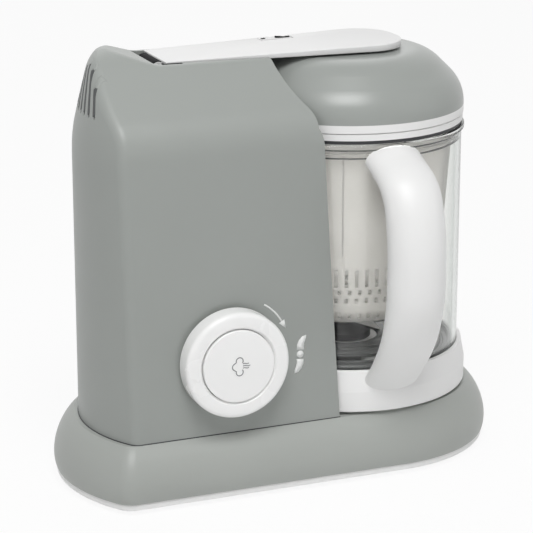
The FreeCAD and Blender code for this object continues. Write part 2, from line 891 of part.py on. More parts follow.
def make_boiler():
    wall = size.tank_wall
    top = channel_floor - size.neck_height
    foot = top - size.tank_height
    neck = tank_mouth - size.clearance
    pot = padded("tank_pot", "XY_Plane", tank_plan(zero), size.tank_height, foot)
    room = padded("tank_room", "XY_Plane", tank_plan(wall), size.tank_height - wall * 2, foot + wall)
    tube = cylinder("tank_neck", neck, size.neck_height, 0, 0, top)
    flange = cylinder("tank_flange", neck + size.neck_flange, wall * 2, 0, 0, roof_under - wall * 2)
    bore = cylinder("tank_bore", neck - wall, size.neck_height + wall * 2, 0, 0, top - wall * 2)
    pot_solid = fuse("tank_solid", pot, tube, flange)
    piece(cut("tank_cut", pot_solid, room, bore), "water_tank", -tank_reach)
    heater_foot = foot - size.heater_height
    plate = cylinder("heater_disc", tank_mouth, size.heater_height, 0, 0, heater_foot)
    middle = tank_mouth - size.element_inset
    inner = middle - size.element_width / 2
    outer = middle + size.element_width / 2
    groove = ring("element_groove", inner, outer, heater_foot, size.element_depth)
    piece(cut("heater_cut", plate, groove), "heater_plate", -tank_reach)
    element = ring("element_coil", inner + size.running, outer - size.running,
                   heater_foot - size.element_depth, size.element_depth * 2)
    piece(element, "heater_element", -tank_reach)
    body = cylinder("thermostat_body", size.thermostat_radius, size.thermostat_height)
    piece(body, "thermostat", -tank_reach, 0, heater_foot - size.thermostat_height)


def make_motor():
    mount_top = deck_height + size.mount_height
    can_top = mount_top + size.motor_height
    hub_top = can_top + size.can_hub_height
    shaft_gap = size.motor_shaft + size.running
    mount = ring("mount_ring", size.mount_bore, size.mount_radius, deck_height, size.mount_height)
    piece(mount, "motor_mount", -size.motor_reach)
    can = turned("can_turned", [
        Corner(shaft_gap, mount_top),
        Corner(size.motor_radius, mount_top),
        Corner(size.motor_radius, can_top - size.can_edge),
        Corner(size.motor_radius - size.can_edge, can_top),
        Corner(size.can_hub, can_top),
        Corner(size.can_hub, hub_top),
        Corner(shaft_gap, hub_top),
    ])
    piece(can, "motor_can", -size.motor_reach)
    shaft_foot = pulley_floor - size.shaft_tail
    shaft = cylinder("rotor_shaft", size.motor_shaft, hub_top + size.shaft_end - shaft_foot)
    piece(shaft, "motor_shaft", -size.motor_reach, 0, shaft_foot)
    piece(pulley("small_pulley", size.motor_pulley, size.motor_shaft), "motor_pulley", -size.motor_reach)


def make_spindle():
    piece(pulley("large_pulley", size.drive_pulley, size.spindle_radius), "drive_pulley", size.jug_reach)
    spindle_foot = pulley_floor - size.shaft_tail
    spindle = cylinder("spindle_rod", size.spindle_radius, coupling_top - spindle_foot)
    piece(spindle, "drive_spindle", size.jug_reach, 0, spindle_foot)
    bush_foot = pulley_top + size.bush_gap
    bush = ring("bush_ring", size.spindle_radius + size.running, size.bush_radius, bush_foot,
                deck_height - bush_foot)
    piece(bush, "spindle_bush", size.jug_reach)
    disc = ring("coupling_disc", size.spindle_radius, size.coupling_radius, coupling_foot,
                size.coupling_height)
    dogs = coupling_dogs("drive_dog", coupling_top, False)
    piece(fuse("coupling_solid", disc, *dogs), "drive_coupling", size.jug_reach)


def coupling_dogs(name, foot, across):
    """Two facing dogs of the jug's drive, along X or across it."""
    reach = size.coupling_radius - size.clearance - size.dog_inner
    offset = size.dog_inner + reach / 2
    dogs = []
    for side in (-1, 1):
        label = "%s%d" % (name, side + 1)
        if across:
            dogs.append(box(label, size.dog_width, reach, size.dog_height, 0, offset * side, foot))
        else:
            dogs.append(box(label, reach, size.dog_width, size.dog_height, offset * side, 0, foot))
    return dogs


def pulley(name, radius, bore):
    """A flanged belt pulley."""
    groove = radius - size.flange_depth
    flange = (size.pulley_height - size.belt_width) / 2 - size.belt_play
    low = pulley_floor + flange
    high = pulley_top - flange
    return turned(name, [
        Corner(bore, pulley_floor),
        Corner(radius, pulley_floor),
        Corner(radius, low),
        Corner(groove, low),
        Corner(groove, high),
        Corner(radius, high),
        Corner(radius, pulley_top),
        Corner(bore, pulley_top),
    ])


def belt_outline(gap):
    """The belt's run round both pulleys, at a gap from the bottoms of their grooves."""
    small = size.motor_pulley - size.flange_depth + gap
    large = size.drive_pulley - size.flange_depth + gap
    apart = size.motor_reach + size.jug_reach
    slope = (large - small) / apart
    level = root(1 - slope * slope)
    near = -size.motor_reach - small * slope
    far = size.jug_reach - large * slope
    return [
        Corner(near, -(small * level)),
        Corner(far, -(large * level), arc=large),
        Corner(size.jug_reach + large, 0, arc=large),
        Corner(far, large * level),
        Corner(near, small * level, arc=small),
    ]


def make_drive_belt():
    foot = pulley_floor + (size.pulley_height - size.belt_width) / 2
    around = belt_outline(size.clearance + size.belt_thick)
    outer = padded("belt_outer", "XY_Plane", around, size.belt_width, foot)
    inner = padded("belt_inner", "XY_Plane", belt_outline(size.clearance), size.belt_width, foot)
    piece(cut("belt_loop", outer, inner), "drive_belt")


def make_controls():
    pocket = size.button_radius + size.clearance
    bore = size.stem_bore + size.clearance
    cam_front = inner_face(knob_height + size.cam_reach) - size.clearance - knob_back
    stem_end = cam_front - size.cam_depth
    knob = turned("knob_turned", [
        Corner(bore, stem_end),
        Corner(size.stem_radius, stem_end),
        Corner(size.stem_radius, 0),
        Corner(size.knob_radius, 0),
        Corner(size.knob_radius - size.knob_taper, size.knob_depth, rounding=size.knob_edge),
        Corner(pocket, size.knob_depth),
        Corner(pocket, size.knob_floor),
        Corner(bore, size.knob_floor),
    ])
    piece(knob, "knob_ring", -size.knob_reach, -knob_back, knob_height, front)
    disc = ring("cam_disc", size.stem_radius, size.cam_radius, stem_end, size.cam_depth)
    finger_root = (size.stem_radius + size.cam_radius) / 2
    finger = box("cam_finger", size.finger_width, size.cam_reach - finger_root, size.cam_depth,
                 0, (size.cam_reach + finger_root) / 2, stem_end)
    piece(fuse("cam_solid", disc, finger), "knob_cam", -size.knob_reach, -knob_back, knob_height, front)
    face = size.knob_depth + size.button_proud
    plate = face - size.button_depth
    tail = stem_end - size.button_tail
    button = turned("button_turned", [
        Corner(0, tail),
        Corner(size.stem_bore, tail),
        Corner(size.stem_bore, plate),
        Corner(size.button_radius, plate),
        Corner(size.button_radius, face - size.button_edge),
        Corner(size.button_radius - size.button_edge, face),
        Corner(0, face),
    ])
    piece(button, "steam_button", -size.knob_reach, -knob_back, knob_height, front)
    block_face = knob_back + tail - size.button_travel - size.clearance
    block = box("switch_body", size.switch_width, size.switch_depth, size.switch_width)
    piece(block, "switch_block", -size.knob_reach - size.switch_width / 2, -block_face,
          knob_height - size.switch_width / 2)
    board = box("board_plate", size.board_width, size.board_thick, size.board_height, 0,
                size.switch_depth + size.board_thick / 2, -size.board_height / 2)
    post_front = block_face - inner_face(knob_height + size.post_height / 2) + size.clearance
    post_back = size.switch_depth + size.board_thick / 2
    posts = []
    for side in (-1, 1):
        offset = (size.board_width - size.post_width) / 2 * side
        posts.append(box("post%d" % (side + 1), size.post_width, post_back - post_front, size.post_height,
                         offset, (post_back + post_front) / 2, -size.post_height / 2))
    piece(fuse("board_solid", board, *posts), "control_board", -size.knob_reach, -block_face, knob_height)


def latch_inner():
    """Where the latch's inner face rests, back from the arm's far edge."""
    return (size.arm_half_left + size.arm_half_right) / 2 - size.latch_depth


def hinge_hole(name):
    """A bore along the hinge's axis that the pin turns in."""
    return cylinder(name, size.pin_radius + size.running, size.plinth_depth, -size.hinge_reach,
                    size.plinth_depth / 2, hinge_height, front)


def make_steam_arm():
    plan = padded("arm_plan", "XY_Plane", arm_plan(zero), size.overrun, arm_floor)
    side = padded("arm_side", "XZ_Plane", [
        Corner(-arm_left, arm_floor),
        Corner(arm_right, arm_floor),
        Corner(arm_right, arm_floor + size.arm_rise_right),
        Corner(-arm_left, arm_floor + size.arm_rise_left),
    ], size.plinth_depth, 0, True)
    tongue = common("arm_tongue", plan, side)
    width = size.knuckle_half * 2
    knuckle = cylinder("arm_knuckle", size.knuckle_radius, width, -size.hinge_reach, size.knuckle_half,
                       hinge_height, front)
    web = box("arm_web", size.knuckle_radius, width, size.hinge_drop + size.arm_rise_left / 2,
              size.knuckle_radius / 2 - size.hinge_reach, 0, hinge_height)
    notch_inner = latch_inner() - size.latch_travel - size.clearance
    notch = box("latch_notch", size.latch_length + size.clearance * 2, size.overrun * 2, size.overrun,
                size.latch_left + size.latch_length / 2, notch_inner + size.overrun,
                arm_floor + size.latch_floor)
    solid = fuse("arm_solid", tongue, knuckle, web)
    piece(cut("arm_cut", solid, hinge_hole("arm_bore"), notch), "arm_cover")


def make_hinge():
    pin_half = size.knuckle_half + size.clearance + size.lug_width
    pin = cylinder("pin_rod", size.pin_radius, pin_half * 2)
    piece(pin, "hinge_pin", -size.hinge_reach, pin_half, hinge_height, front)
    lug_radius = size.hinge_drop - size.clearance
    lug_foot = hinge_height - size.lug_drop
    solids = [box("lug_tie", lug_radius * 2, pin_half * 2, size.tie_height, -size.hinge_reach, 0, lug_foot)]
    for side in (-1, 1):
        number = side + 1
        middle = (pin_half - size.lug_width / 2) * side
        solids.append(box("lug%d" % number, lug_radius * 2, size.lug_width, size.lug_drop, -size.hinge_reach,
                          middle, lug_foot))
        solids.append(cylinder("lug_eye%d" % number, lug_radius, size.lug_width, -size.hinge_reach,
                               middle + size.lug_width / 2, hinge_height, front))
        wing_middle = (pin_half + size.wing_width / 2) * side
        solids.append(box("wing%d" % number, size.wing_length, size.wing_width, size.tie_height,
                          -size.hinge_reach, wing_middle, roof_under - size.tie_height))
    piece(cut("bracket_cut", fuse("bracket_solid", *solids), hinge_hole("lug_bore")), "hinge_bracket")


def make_arm_fittings():
    seal_foot = channel_floor + size.clearance
    seal = ring("seal_plate", tank_mouth - size.seal_land, tank_mouth + size.seal_flange, seal_foot,
                arm_floor - seal_foot)
    piece(seal, "tank_seal", -tank_reach)
    nozzle = ring("nozzle_ring", size.nozzle_bore, size.nozzle_radius, arm_floor - size.nozzle_height,
                  size.nozzle_height)
    piece(nozzle, "arm_nozzle", size.jug_reach)
    middle_x = size.latch_left + size.latch_length / 2
    middle_y = latch_inner() + size.latch_depth / 2
    slider_foot = arm_floor + size.latch_floor + size.clearance
    slider = box("latch_body", size.latch_length, size.latch_depth, size.latch_thick, middle_x, middle_y,
                 slider_foot)
    grip = box("latch_grip", size.latch_length - size.grip_inset * 2, size.grip_width,
               size.latch_thick + size.grip_rise, middle_x, middle_y, slider_foot)
    piece(fuse("latch_solid", slider, grip), "latch_slider")


def handle_outline():
    """The handle's side view: an ear that leaves the rim, swells forward and tucks under the collar."""
    outer = -handle_reach
    inner = outer + size.handle_thick
    wall = -(size.bowl_radius + size.clearance)
    top = rim_top - size.handle_drop
    foot = collar_foot + size.handle_lift
    skirt = size.handle_sink - collar_radius
    belly = top - size.handle_belly_drop
    return [
        Corner(wall, top),
        Corner(outer + size.handle_brow, top + size.handle_crest, rounding=size.handle_brow_round),
        Corner(outer - size.handle_hump, belly, rounding=size.handle_belly_round),
        Corner(outer + size.handle_heel_in, foot + size.handle_heel, rounding=size.handle_heel_round),
        Corner(skirt, foot),
        Corner(skirt, foot + size.handle_root),
        Corner(inner + size.grip_heel_in, foot + size.grip_heel, rounding=size.grip_heel_round),
        Corner(inner - size.grip_belly_out, belly, rounding=size.grip_belly_round),
        Corner(inner + size.grip_brow, top - size.grip_brow_drop, rounding=size.grip_brow_round),
        Corner(wall, top - size.handle_neck),
    ]


def make_handle():
    """The handle's loop with its edges rounded: full outside, tighter where the fingers go."""
    loop = padded("handle_loop", "YZ_Plane", handle_outline(), size.handle_width, 0, True)
    doc.recompute()
    sharp = loop.Shape
    outer_edge = size.handle_thick / 2
    inner_edge = size.handle_thick * INNER_EDGE_SHARE
    gap = FreeCAD.Vector(0, -collar_neck.value, (rim_top.value + collar_foot.value) / 2)

    def lies_outside(edge):
        """Whether an edge of the loop's side runs along its outer face."""
        middle = FreeCAD.Vector(0, edge.CenterOfMass.y, edge.CenterOfMass.z)
        probe = middle + (gap - middle).normalize() * inner_edge.value / 2
        return sharp.isInside(probe, size.running.value, False)

    def along_side(edge):
        thin = edge.BoundBox.XLength < size.running.value
        return thin and edge.CenterOfMass.y < -collar_radius.value

    inner_middles = []
    for edge in sharp.Edges:
        if along_side(edge) and not lies_outside(edge):
            inner_middles.append(edge.CenterOfMass)

    def outer_radius(edge):
        return outer_edge if along_side(edge) and lies_outside(edge) else None

    def inner_radius(edge):
        near = [point for point in inner_middles if (point - edge.CenterOfMass).Length < size.clearance.value]
        return inner_edge if along_side(edge) and near else None

    return fillet("handle_soft", fillet("handle_outer", loop, outer_radius), inner_radius)


def spun(name, item, number, level):
    """A copy of a lug, turned to its place in a ring of bayonet lugs and lifted to a level."""
    holder = doc.addObject("Part::Compound", name)
    holder.Links = [item]
    turn = FreeCAD.Rotation(FreeCAD.Vector(0, 0, 1), 360 / BAYONET_LUGS * number)
    return put(holder, 0, 0, level, turn)


def make_jug_seat():
    bore = guide_radius - size.bayonet_wall
    lug_top = claw_top + size.clearance + size.bayonet_thick
    solids = [
        ring("seat_flat", bore, collar_radius - size.seat_inset, deck_height, size.seat_height),
        ring("seat_guide", bore, guide_radius, deck_height, lug_top - deck_height),
    ]
    for number in range(BAYONET_LUGS):
        lug = box("seat_lug%d" % number, size.bayonet_lug * 2, size.bayonet_span, size.bayonet_thick,
                  guide_radius, 0, 0)
        solids.append(spun("seat_turn%d" % number, lug, number, lug_top - size.bayonet_thick))
    piece(fuse("seat_solid", *solids), "jug_seat", size.jug_reach)


def make_jug_collar():
    seat = size.bowl_radius + size.running
    top = collar_foot + size.collar_height
    solids = [turned("collar_turned", [
        Corner(collar_bore, collar_foot),
        Corner(collar_radius, collar_foot),
        Corner(collar_radius, collar_foot + size.collar_height / 2),
        Corner(collar_neck, top),
        Corner(seat, top),
        Corner(seat, bowl_foot),
        Corner(collar_bore, bowl_foot),
    ])]
    for number in range(BAYONET_LUGS):
        claw = box("claw%d" % number, size.claw_reach * 2, size.bayonet_span, size.claw_thick, collar_bore)
        solids.append(spun("claw_turn%d" % number, claw, number, collar_foot))
    room = cylinder("handle_room", seat, size.bowl_height, 0, 0, bowl_foot)
    solids.append(cut("handle_trim", make_handle(), room))
    piece(fuse("collar_solid", *solids), "jug_collar", size.jug_reach)


def make_jug_bowl():
    rim_radius = size.bowl_radius + size.rim_out
    ledge_radius = bowl_inside + size.ledge_width
    lip = rim_top - size.rim_height
    bowl = turned("bowl_turned", [
        Corner(size.blade_bore, bowl_foot),
        Corner(size.bowl_radius, bowl_foot),
        Corner(size.bowl_radius, lip - size.rim_out),
        Corner(rim_radius, lip),
        Corner(rim_radius, rim_top),
        Corner(ledge_radius, rim_top),
        Corner(ledge_radius, ledge),
        Corner(bowl_inside, ledge),
        Corner(bowl_inside, bowl_deck + size.bowl_cove),
        Corner(bowl_inside - size.bowl_cove, bowl_deck),
        Corner(size.blade_bore, bowl_deck),
    ])
    offset = bowl_inside - size.rib_width / 2 + size.bowl_wall / 4
    solids = [bowl]
    for side_x, side_y in ((1, 0), (-1, 0), (0, 1), (0, -1)):
        solids.append(box("flow_rib%d%d" % (side_x + 1, side_y + 1), size.rib_width, size.rib_width,
                          size.rib_length, offset * side_x, offset * side_y, bowl_deck + size.rib_lift))
    piece(fuse("bowl_solid", *solids), "jug_bowl", size.jug_reach)
    outer = bowl_inside - size.gasket_inset
    gasket = ring("gasket_ring", outer - size.gasket_width, outer, bowl_deck, size.gasket_height)
    piece(gasket, "jug_gasket", size.jug_reach)


def make_basket():
    wall = size.basket_wall
    radius = size.bowl_radius - size.basket_gap
    foot = radius - size.basket_draw
    floor = bowl_deck + size.basket_lift
    cove = size.basket_cove
    flange_reach = bowl_inside + size.ledge_width - size.clearance * 2
    flange_top = ledge + size.basket_flange
    shell = turned("basket_turned", [
        Corner(0, floor),
        Corner(foot - cove, floor),
        Corner(foot, floor + cove),
        Corner(radius, ledge),
        Corner(flange_reach, ledge),
        Corner(flange_reach, flange_top),
        Corner(radius - wall, flange_top),
        Corner(foot - wall, floor + cove + wall * BEVEL_SHIFT),
        Corner(foot - cove - wall * BEVEL_SHIFT, floor + wall),
        Corner(0, floor + wall),
    ])
    holes = [cylinder("steam_hole", size.steam_hole, size.overrun, 0, 0, floor - size.overrun / 2)]
    for circle in range(1, STEAM_CIRCLES + 1):
        count = STEAM_HOLES * circle
        for number in range(count):
            angle = 2 * math.pi * number / count
            x = size.steam_circle * circle * math.cos(angle)
            y = size.steam_circle * circle * math.sin(angle)
            holes.append(cylinder("steam_hole%d_%d" % (circle, number), size.steam_hole, size.overrun, x, y,
                                  floor - size.overrun / 2))
    piece(cut("basket_cut", shell, *holes), "steam_basket", size.jug_reach)


def make_blade_base():
    shaft_gap = size.blade_shaft + size.running
    plug = size.blade_bore - size.running
    flange_top = bowl_deck + size.base_flange
    base = turned("blade_base_turned", [
        Corner(shaft_gap, bowl_foot),
        Corner(plug, bowl_foot),
        Corner(plug, bowl_deck),
        Corner(size.blade_base, bowl_deck),
        Corner(size.blade_base, flange_top),
        Corner(shaft_gap, flange_top),
    ])
    piece(base, "blade_base", size.jug_reach)
    inner = size.blade_base + size.running
    corners = [Corner(inner, bowl_deck)]
    for tier in range(SEAL_TIERS):
        reach = size.blade_base + size.tier_width * (SEAL_TIERS - tier)
        level = bowl_deck + size.tier_height * tier
        corners.append(Corner(reach, level))
        corners.append(Corner(reach, level + size.tier_height))
    corners.append(Corner(inner, bowl_deck + size.tier_height * SEAL_TIERS))
    piece(turned("blade_seal_turned", corners), "blade_seal", size.jug_reach)


def knife_outline():
    """One wing of a knife: a straight back and a sickle-shaped cutting edge."""
    half = size.knife_width / 2
    return [
        Corner(0, -half),
        Corner(size.knife_heel, -half, rounding=size.knife_edge_round),
        Corner(size.knife_reach, size.knife_tip),
        Corner(size.knife_bend, half, rounding=size.knife_back_round),
        Corner(0, half),
    ]


def knife_blades(prefix, gap):
    """Both knives, with a gap round them: each has two wings, and the upper stands across the lower."""
    blades = []
    for level_name, level, start in (("low", size.knife_low, 0), ("high", size.knife_high, 90)):
        wings = []
        for number in range(2):
            name = "%s_%s%d" % (prefix, level_name, number)
            wing = padded(name, "XY_Plane", knife_outline(), size.knife_thick + gap * 2)
            turn = FreeCAD.Rotation(FreeCAD.Vector(0, 0, 1), start + 180 * number)
            wings.append(put(wing, 0, 0, hub_foot + level - gap, turn))
        blades.append(fuse("%s_%s" % (prefix, level_name), *wings))
    return blades


def make_blade():
    top = hub_foot + size.hub_height
    cap = top - size.hub_cap
    hub = turned("hub_turned", [
        Corner(size.blade_shaft, hub_foot),
        Corner(size.hub_radius, hub_foot),
        Corner(size.hub_radius, hub_foot + size.hub_skirt),
        Corner(size.hub_crown + size.hub_taper, hub_foot + size.hub_neck),
        Corner(size.hub_crown, top - size.hub_edge),
        Corner(size.hub_crown - size.hub_edge, top),
        Corner(0, top),
        Corner(0, cap),
        Corner(size.blade_shaft, cap),
    ])
    piece(cut("hub_cut", hub, *knife_blades("slot", size.running)), "blade_hub", size.jug_reach)
    knives = []
    for number, blade in enumerate(knife_blades("knife", zero)):
        eye = cylinder("knife_eye%d" % number, size.blade_shaft, size.hub_height, 0, 0, hub_foot)
        knives.append(cut("knife_cut%d" % number, blade, eye))
    group = doc.addObject("Part::Compound", "knives")
    group.Links = knives
    piece(group, "blade_knives", size.jug_reach)
    shaft = cylinder("blade_shaft_rod", size.blade_shaft, cap - socket_foot)
    piece(shaft, "blade_shaft", size.jug_reach, 0, socket_foot)
    disc = ring("socket_disc", size.blade_shaft, size.coupling_radius, socket_foot,
                bowl_foot - size.clearance - socket_foot)
    dogs = coupling_dogs("blade_dog", socket_foot - size.dog_height, True)
    piece(fuse("socket_solid", disc, *dogs), "blade_socket", size.jug_reach)


def make_lid():
    wall = size.lid_wall
    inner = lid_radius - size.lid_land
    seal = ring("lid_seal_ring", inner, lid_radius - size.seal_inset, lid_foot, size.lid_seal)
    piece(seal, "lid_seal", size.jug_reach)
    lower = lid_radius - size.ring_step
    groove = lid_radius - size.groove_depth
    groove_foot = ring_foot + size.groove_rise
    groove_top = groove_foot + size.groove_height
    band = turned("lid_ring_turned", [
        Corner(inner, ring_foot),
        Corner(lower, ring_foot),
        Corner(lower, groove_foot),
        Corner(groove, groove_foot),
        Corner(groove, groove_top),
        Corner(lid_radius, groove_top),
        Corner(lid_radius, dome_foot),
        Corner(inner, dome_foot),
    ])
    piece(band, "lid_ring", size.jug_reach)
    bend = dome_foot + size.dome_band
    crown = lid_radius - size.dome_draw
    shift = wall * BEVEL_SHIFT
    hole = size.port_radius + size.running
    turn = size.dome_round
    dome = turned("dome_turned", [
        Corner(lid_radius - wall, dome_foot),
        Corner(lid_radius, dome_foot),
        Corner(lid_radius, bend, rounding=turn),
        Corner(crown, dome_top, rounding=turn),
        Corner(hole, dome_top),
        Corner(hole, dome_top - wall),
        Corner(crown - shift, dome_top - wall, rounding=turn - wall),
        Corner(lid_radius - wall, bend - shift, rounding=turn - wall),
    ])
    piece(dome, "lid_dome", size.jug_reach)
    under = dome_top - wall
    flange = size.port_radius + size.port_flange
    port = turned("port_turned", [
        Corner(size.port_bore, dome_top - size.port_drop),
        Corner(flange, under - size.port_flange_depth),
        Corner(flange, under),
        Corner(size.port_radius, under),
        Corner(size.port_radius, dome_top),
        Corner(size.port_bore, dome_top),
    ])
    piece(port, "lid_port", size.jug_reach)


def save(item):
    """Refuse a broken sub-part, then write it under its label."""
    if "Invalid" in item.State or "Error" in item.State:
        raise ValueError("%s did not build" % item.Label)
    if item.Shape.isNull() or not item.Shape.isValid():
        raise ValueError("%s has no valid shape" % item.Label)
    item.Shape.exportStep("parts/%s.step" % item.Label)


make_base_tray()
make_rubber_feet()
make_base_screws()
make_plinth_skirt()
make_cord_gland()
make_tower_shell()
make_boiler()
make_motor()
make_spindle()
make_drive_belt()
make_controls()
make_steam_arm()
make_hinge()
make_arm_fittings()
make_jug_seat()
make_jug_collar()
make_jug_bowl()
make_basket()
make_blade_base()
make_blade()
make_lid()

doc.recompute()
os.makedirs("parts", exist_ok=True)
for finished in pieces:
    save(finished)
print("%d sub-parts" % len(pieces))
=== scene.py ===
# %% [markdown]
# # A counter-top baby food maker
# The lesson dresses a imported model of a steam tower and a blender jug. The solids come with the frame, in
# metres, and stay where they are. This script gives them finishes, rounds their hard edges, and turns, sweeps
# or draws the pieces that need a finer form than the solids have: the clear jug with its basket and handle,
# the seals, the knob, the painted shade in the vents' slots and the small printed marks.

# %% Load the imported model
import bpy
import bmesh
import json
import math
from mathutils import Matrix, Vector
from mathutils.bvhtree import BVHTree


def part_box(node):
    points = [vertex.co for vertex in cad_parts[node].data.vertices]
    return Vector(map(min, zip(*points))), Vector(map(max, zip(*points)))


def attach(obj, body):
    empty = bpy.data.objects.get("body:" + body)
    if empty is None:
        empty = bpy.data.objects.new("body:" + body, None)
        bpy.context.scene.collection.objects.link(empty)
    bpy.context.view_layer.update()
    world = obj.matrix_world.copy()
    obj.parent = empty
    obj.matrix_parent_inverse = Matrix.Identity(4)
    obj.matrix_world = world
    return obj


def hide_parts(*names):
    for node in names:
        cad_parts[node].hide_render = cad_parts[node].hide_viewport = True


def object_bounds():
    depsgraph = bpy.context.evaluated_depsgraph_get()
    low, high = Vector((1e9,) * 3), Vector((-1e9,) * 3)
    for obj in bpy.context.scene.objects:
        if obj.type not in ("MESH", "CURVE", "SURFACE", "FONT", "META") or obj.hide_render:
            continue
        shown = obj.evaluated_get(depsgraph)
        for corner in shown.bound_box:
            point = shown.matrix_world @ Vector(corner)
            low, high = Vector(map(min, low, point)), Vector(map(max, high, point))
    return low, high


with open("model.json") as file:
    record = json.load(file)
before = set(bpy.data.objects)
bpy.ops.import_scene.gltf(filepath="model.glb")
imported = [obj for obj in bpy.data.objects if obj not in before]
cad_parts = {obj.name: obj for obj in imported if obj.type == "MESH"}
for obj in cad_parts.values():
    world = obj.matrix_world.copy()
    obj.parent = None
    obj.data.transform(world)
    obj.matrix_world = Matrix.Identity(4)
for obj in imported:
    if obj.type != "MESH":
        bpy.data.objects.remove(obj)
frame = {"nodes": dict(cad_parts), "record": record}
nodes = frame["nodes"]
cad_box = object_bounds()
MM = 0.001


def middle(node):
    """The centre of a node's box."""
    low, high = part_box(node)
    return (low + high) / 2


print("nodes", len(nodes), "box", [round(side, 4) for side in cad_box[1] - cad_box[0]])

# %% [markdown]
# ## Camera
# The photograph was taken from well in front, a little to the left and above. A long lens keeps the upright
# edges nearly parallel. The place and direction below were found by fitting the plinth, the tower and the jug
# to the picture. The plane in which the tower and the jug are symmetrical gives the camera its depth, so the
# camera follows the model.

# %% Camera
LENS = 145.4
SHIFT = (-0.0015, -0.0724)
plane_y = middle("lid_dome").y
camera_place = Vector((-0.4611, plane_y - 1.1553, 0.4872))
camera_aim = Vector((0.3568, 0.8940, -0.2713))

lens = bpy.data.cameras.new("photo_lens")
lens.lens = LENS
lens.shift_x, lens.shift_y = SHIFT
camera = bpy.data.objects.new("photo_camera", lens)
bpy.context.collection.objects.link(camera)
camera.location = camera_place
camera.rotation_mode = "QUATERNION"
camera.rotation_quaternion = camera_aim.to_track_quat("-Z", "Y")
bpy.context.scene.camera = camera
print("camera", [round(value, 3) for value in camera.location])

# %% [markdown]
# ## Studio
# A product picture is lit by broad, soft sources. One large panel hangs over the machine towards the front
# left, a weaker one fills from the right, a third brightens the back, and an even world lights the rest. Area
# lamps are used, because a bare sun or a point lamp would draw harder shadows. Their power is set so that a
# colour comes out about as it is written.

# %% Studio light
scene = bpy.context.scene
scene.view_settings.view_transform = "Standard"


def panel(name, place, aim, width, power):
    """A soft square lamp that faces a point."""
    lamp = bpy.data.lights.new(name, "AREA")
    lamp.size = width
    lamp.energy = power
    holder = bpy.data.objects.new(name, lamp)
    bpy.context.collection.objects.link(holder)
    holder.location = place
    holder.rotation_mode = "QUATERNION"
    holder.rotation_quaternion = (Vector(aim) - Vector(place)).to_track_quat("-Z", "Y")


aim_point = middle("tower_shell")
panel("key_panel", (-0.4, -1.0, 1.8), aim_point, 1.0, 26.0)
panel("fill_panel", (1.6, -1.0, 0.9), aim_point, 1.4, 1.5)
panel("back_panel", (0.3, 1.6, 1.4), aim_point, 1.4, 5.0)
print("lamps", len(bpy.data.lights))

# %% [markdown]
# ## White surroundings
# The picture has a white background. More light would bleach the object, so the whiteness is given only to
# what is seen: rays from the camera, and those that glossy or clear plastic sends on, meet a white world.
# All other rays meet a dimmer one, which lights the object.

# %% World
WORLD_LIGHT = 0.3
PURE_WHITE = (1.0, 1.0, 1.0, 1.0)


def seen_share(tree, share):
    """A share for rays that are seen, straight or through gloss and clear plastic, and none for the rest."""
    path = tree.nodes.new("ShaderNodeLightPath")
    both = tree.nodes.new("ShaderNodeMath")
    both.operation = "MAXIMUM"
    every = tree.nodes.new("ShaderNodeMath")
    every.operation = "MAXIMUM"
    scale = tree.nodes.new("ShaderNodeMath")
    scale.operation = "MULTIPLY"
    scale.inputs[1].default_value = share
    tree.links.new(path.outputs["Is Camera Ray"], both.inputs[0])
    tree.links.new(path.outputs["Is Glossy Ray"], both.inputs[1])
    tree.links.new(both.outputs["Value"], every.inputs[0])
    tree.links.new(path.outputs["Is Transmission Ray"], every.inputs[1])
    tree.links.new(every.outputs["Value"], scale.inputs[0])
    return scale.outputs["Value"]


world = bpy.data.worlds.new("studio")
scene.world = world
world.use_nodes = True
sky_tree = world.node_tree
dim_sky = sky_tree.nodes["Background"]
dim_sky.inputs["Color"].default_value = PURE_WHITE
dim_sky.inputs["Strength"].default_value = WORLD_LIGHT
white_sky = sky_tree.nodes.new("ShaderNodeBackground")
white_sky.inputs["Color"].default_value = PURE_WHITE
white_sky.inputs["Strength"].default_value = 1.0
sky_mix = sky_tree.nodes.new("ShaderNodeMixShader")
sky_tree.links.new(seen_share(sky_tree, 1.0), sky_mix.inputs["Fac"])
sky_tree.links.new(dim_sky.outputs["Background"], sky_mix.inputs[1])
sky_tree.links.new(white_sky.outputs["Background"], sky_mix.inputs[2])
sky_tree.links.new(sky_mix.outputs["Shader"], sky_tree.nodes["World Output"].inputs["Surface"])
print("world light", WORLD_LIGHT)

# %% [markdown]
# ## Floor
# The machine stands on pale paper. A floor that is only lit would come out grey, so in the same way it glows
# for rays that are seen. The rest of its light is reflected, so the object's shadow stays on it.

# %% Floor
FLOOR_HALF = 6.0
FLOOR_GLOW = 0.9
PAPER = (0.93, 0.93, 0.93, 1.0)
PAPER_ROUGH = 0.9

floor_mesh = bpy.data.meshes.new("studio_floor")
floor_corners = [(-FLOOR_HALF, -FLOOR_HALF, 0), (FLOOR_HALF, -FLOOR_HALF, 0)]
floor_corners += [(FLOOR_HALF, FLOOR_HALF, 0), (-FLOOR_HALF, FLOOR_HALF, 0)]
floor_mesh.from_pydata(floor_corners, [], [(0, 1, 2, 3)])
floor = bpy.data.objects.new("studio_floor", floor_mesh)
bpy.context.collection.objects.link(floor)

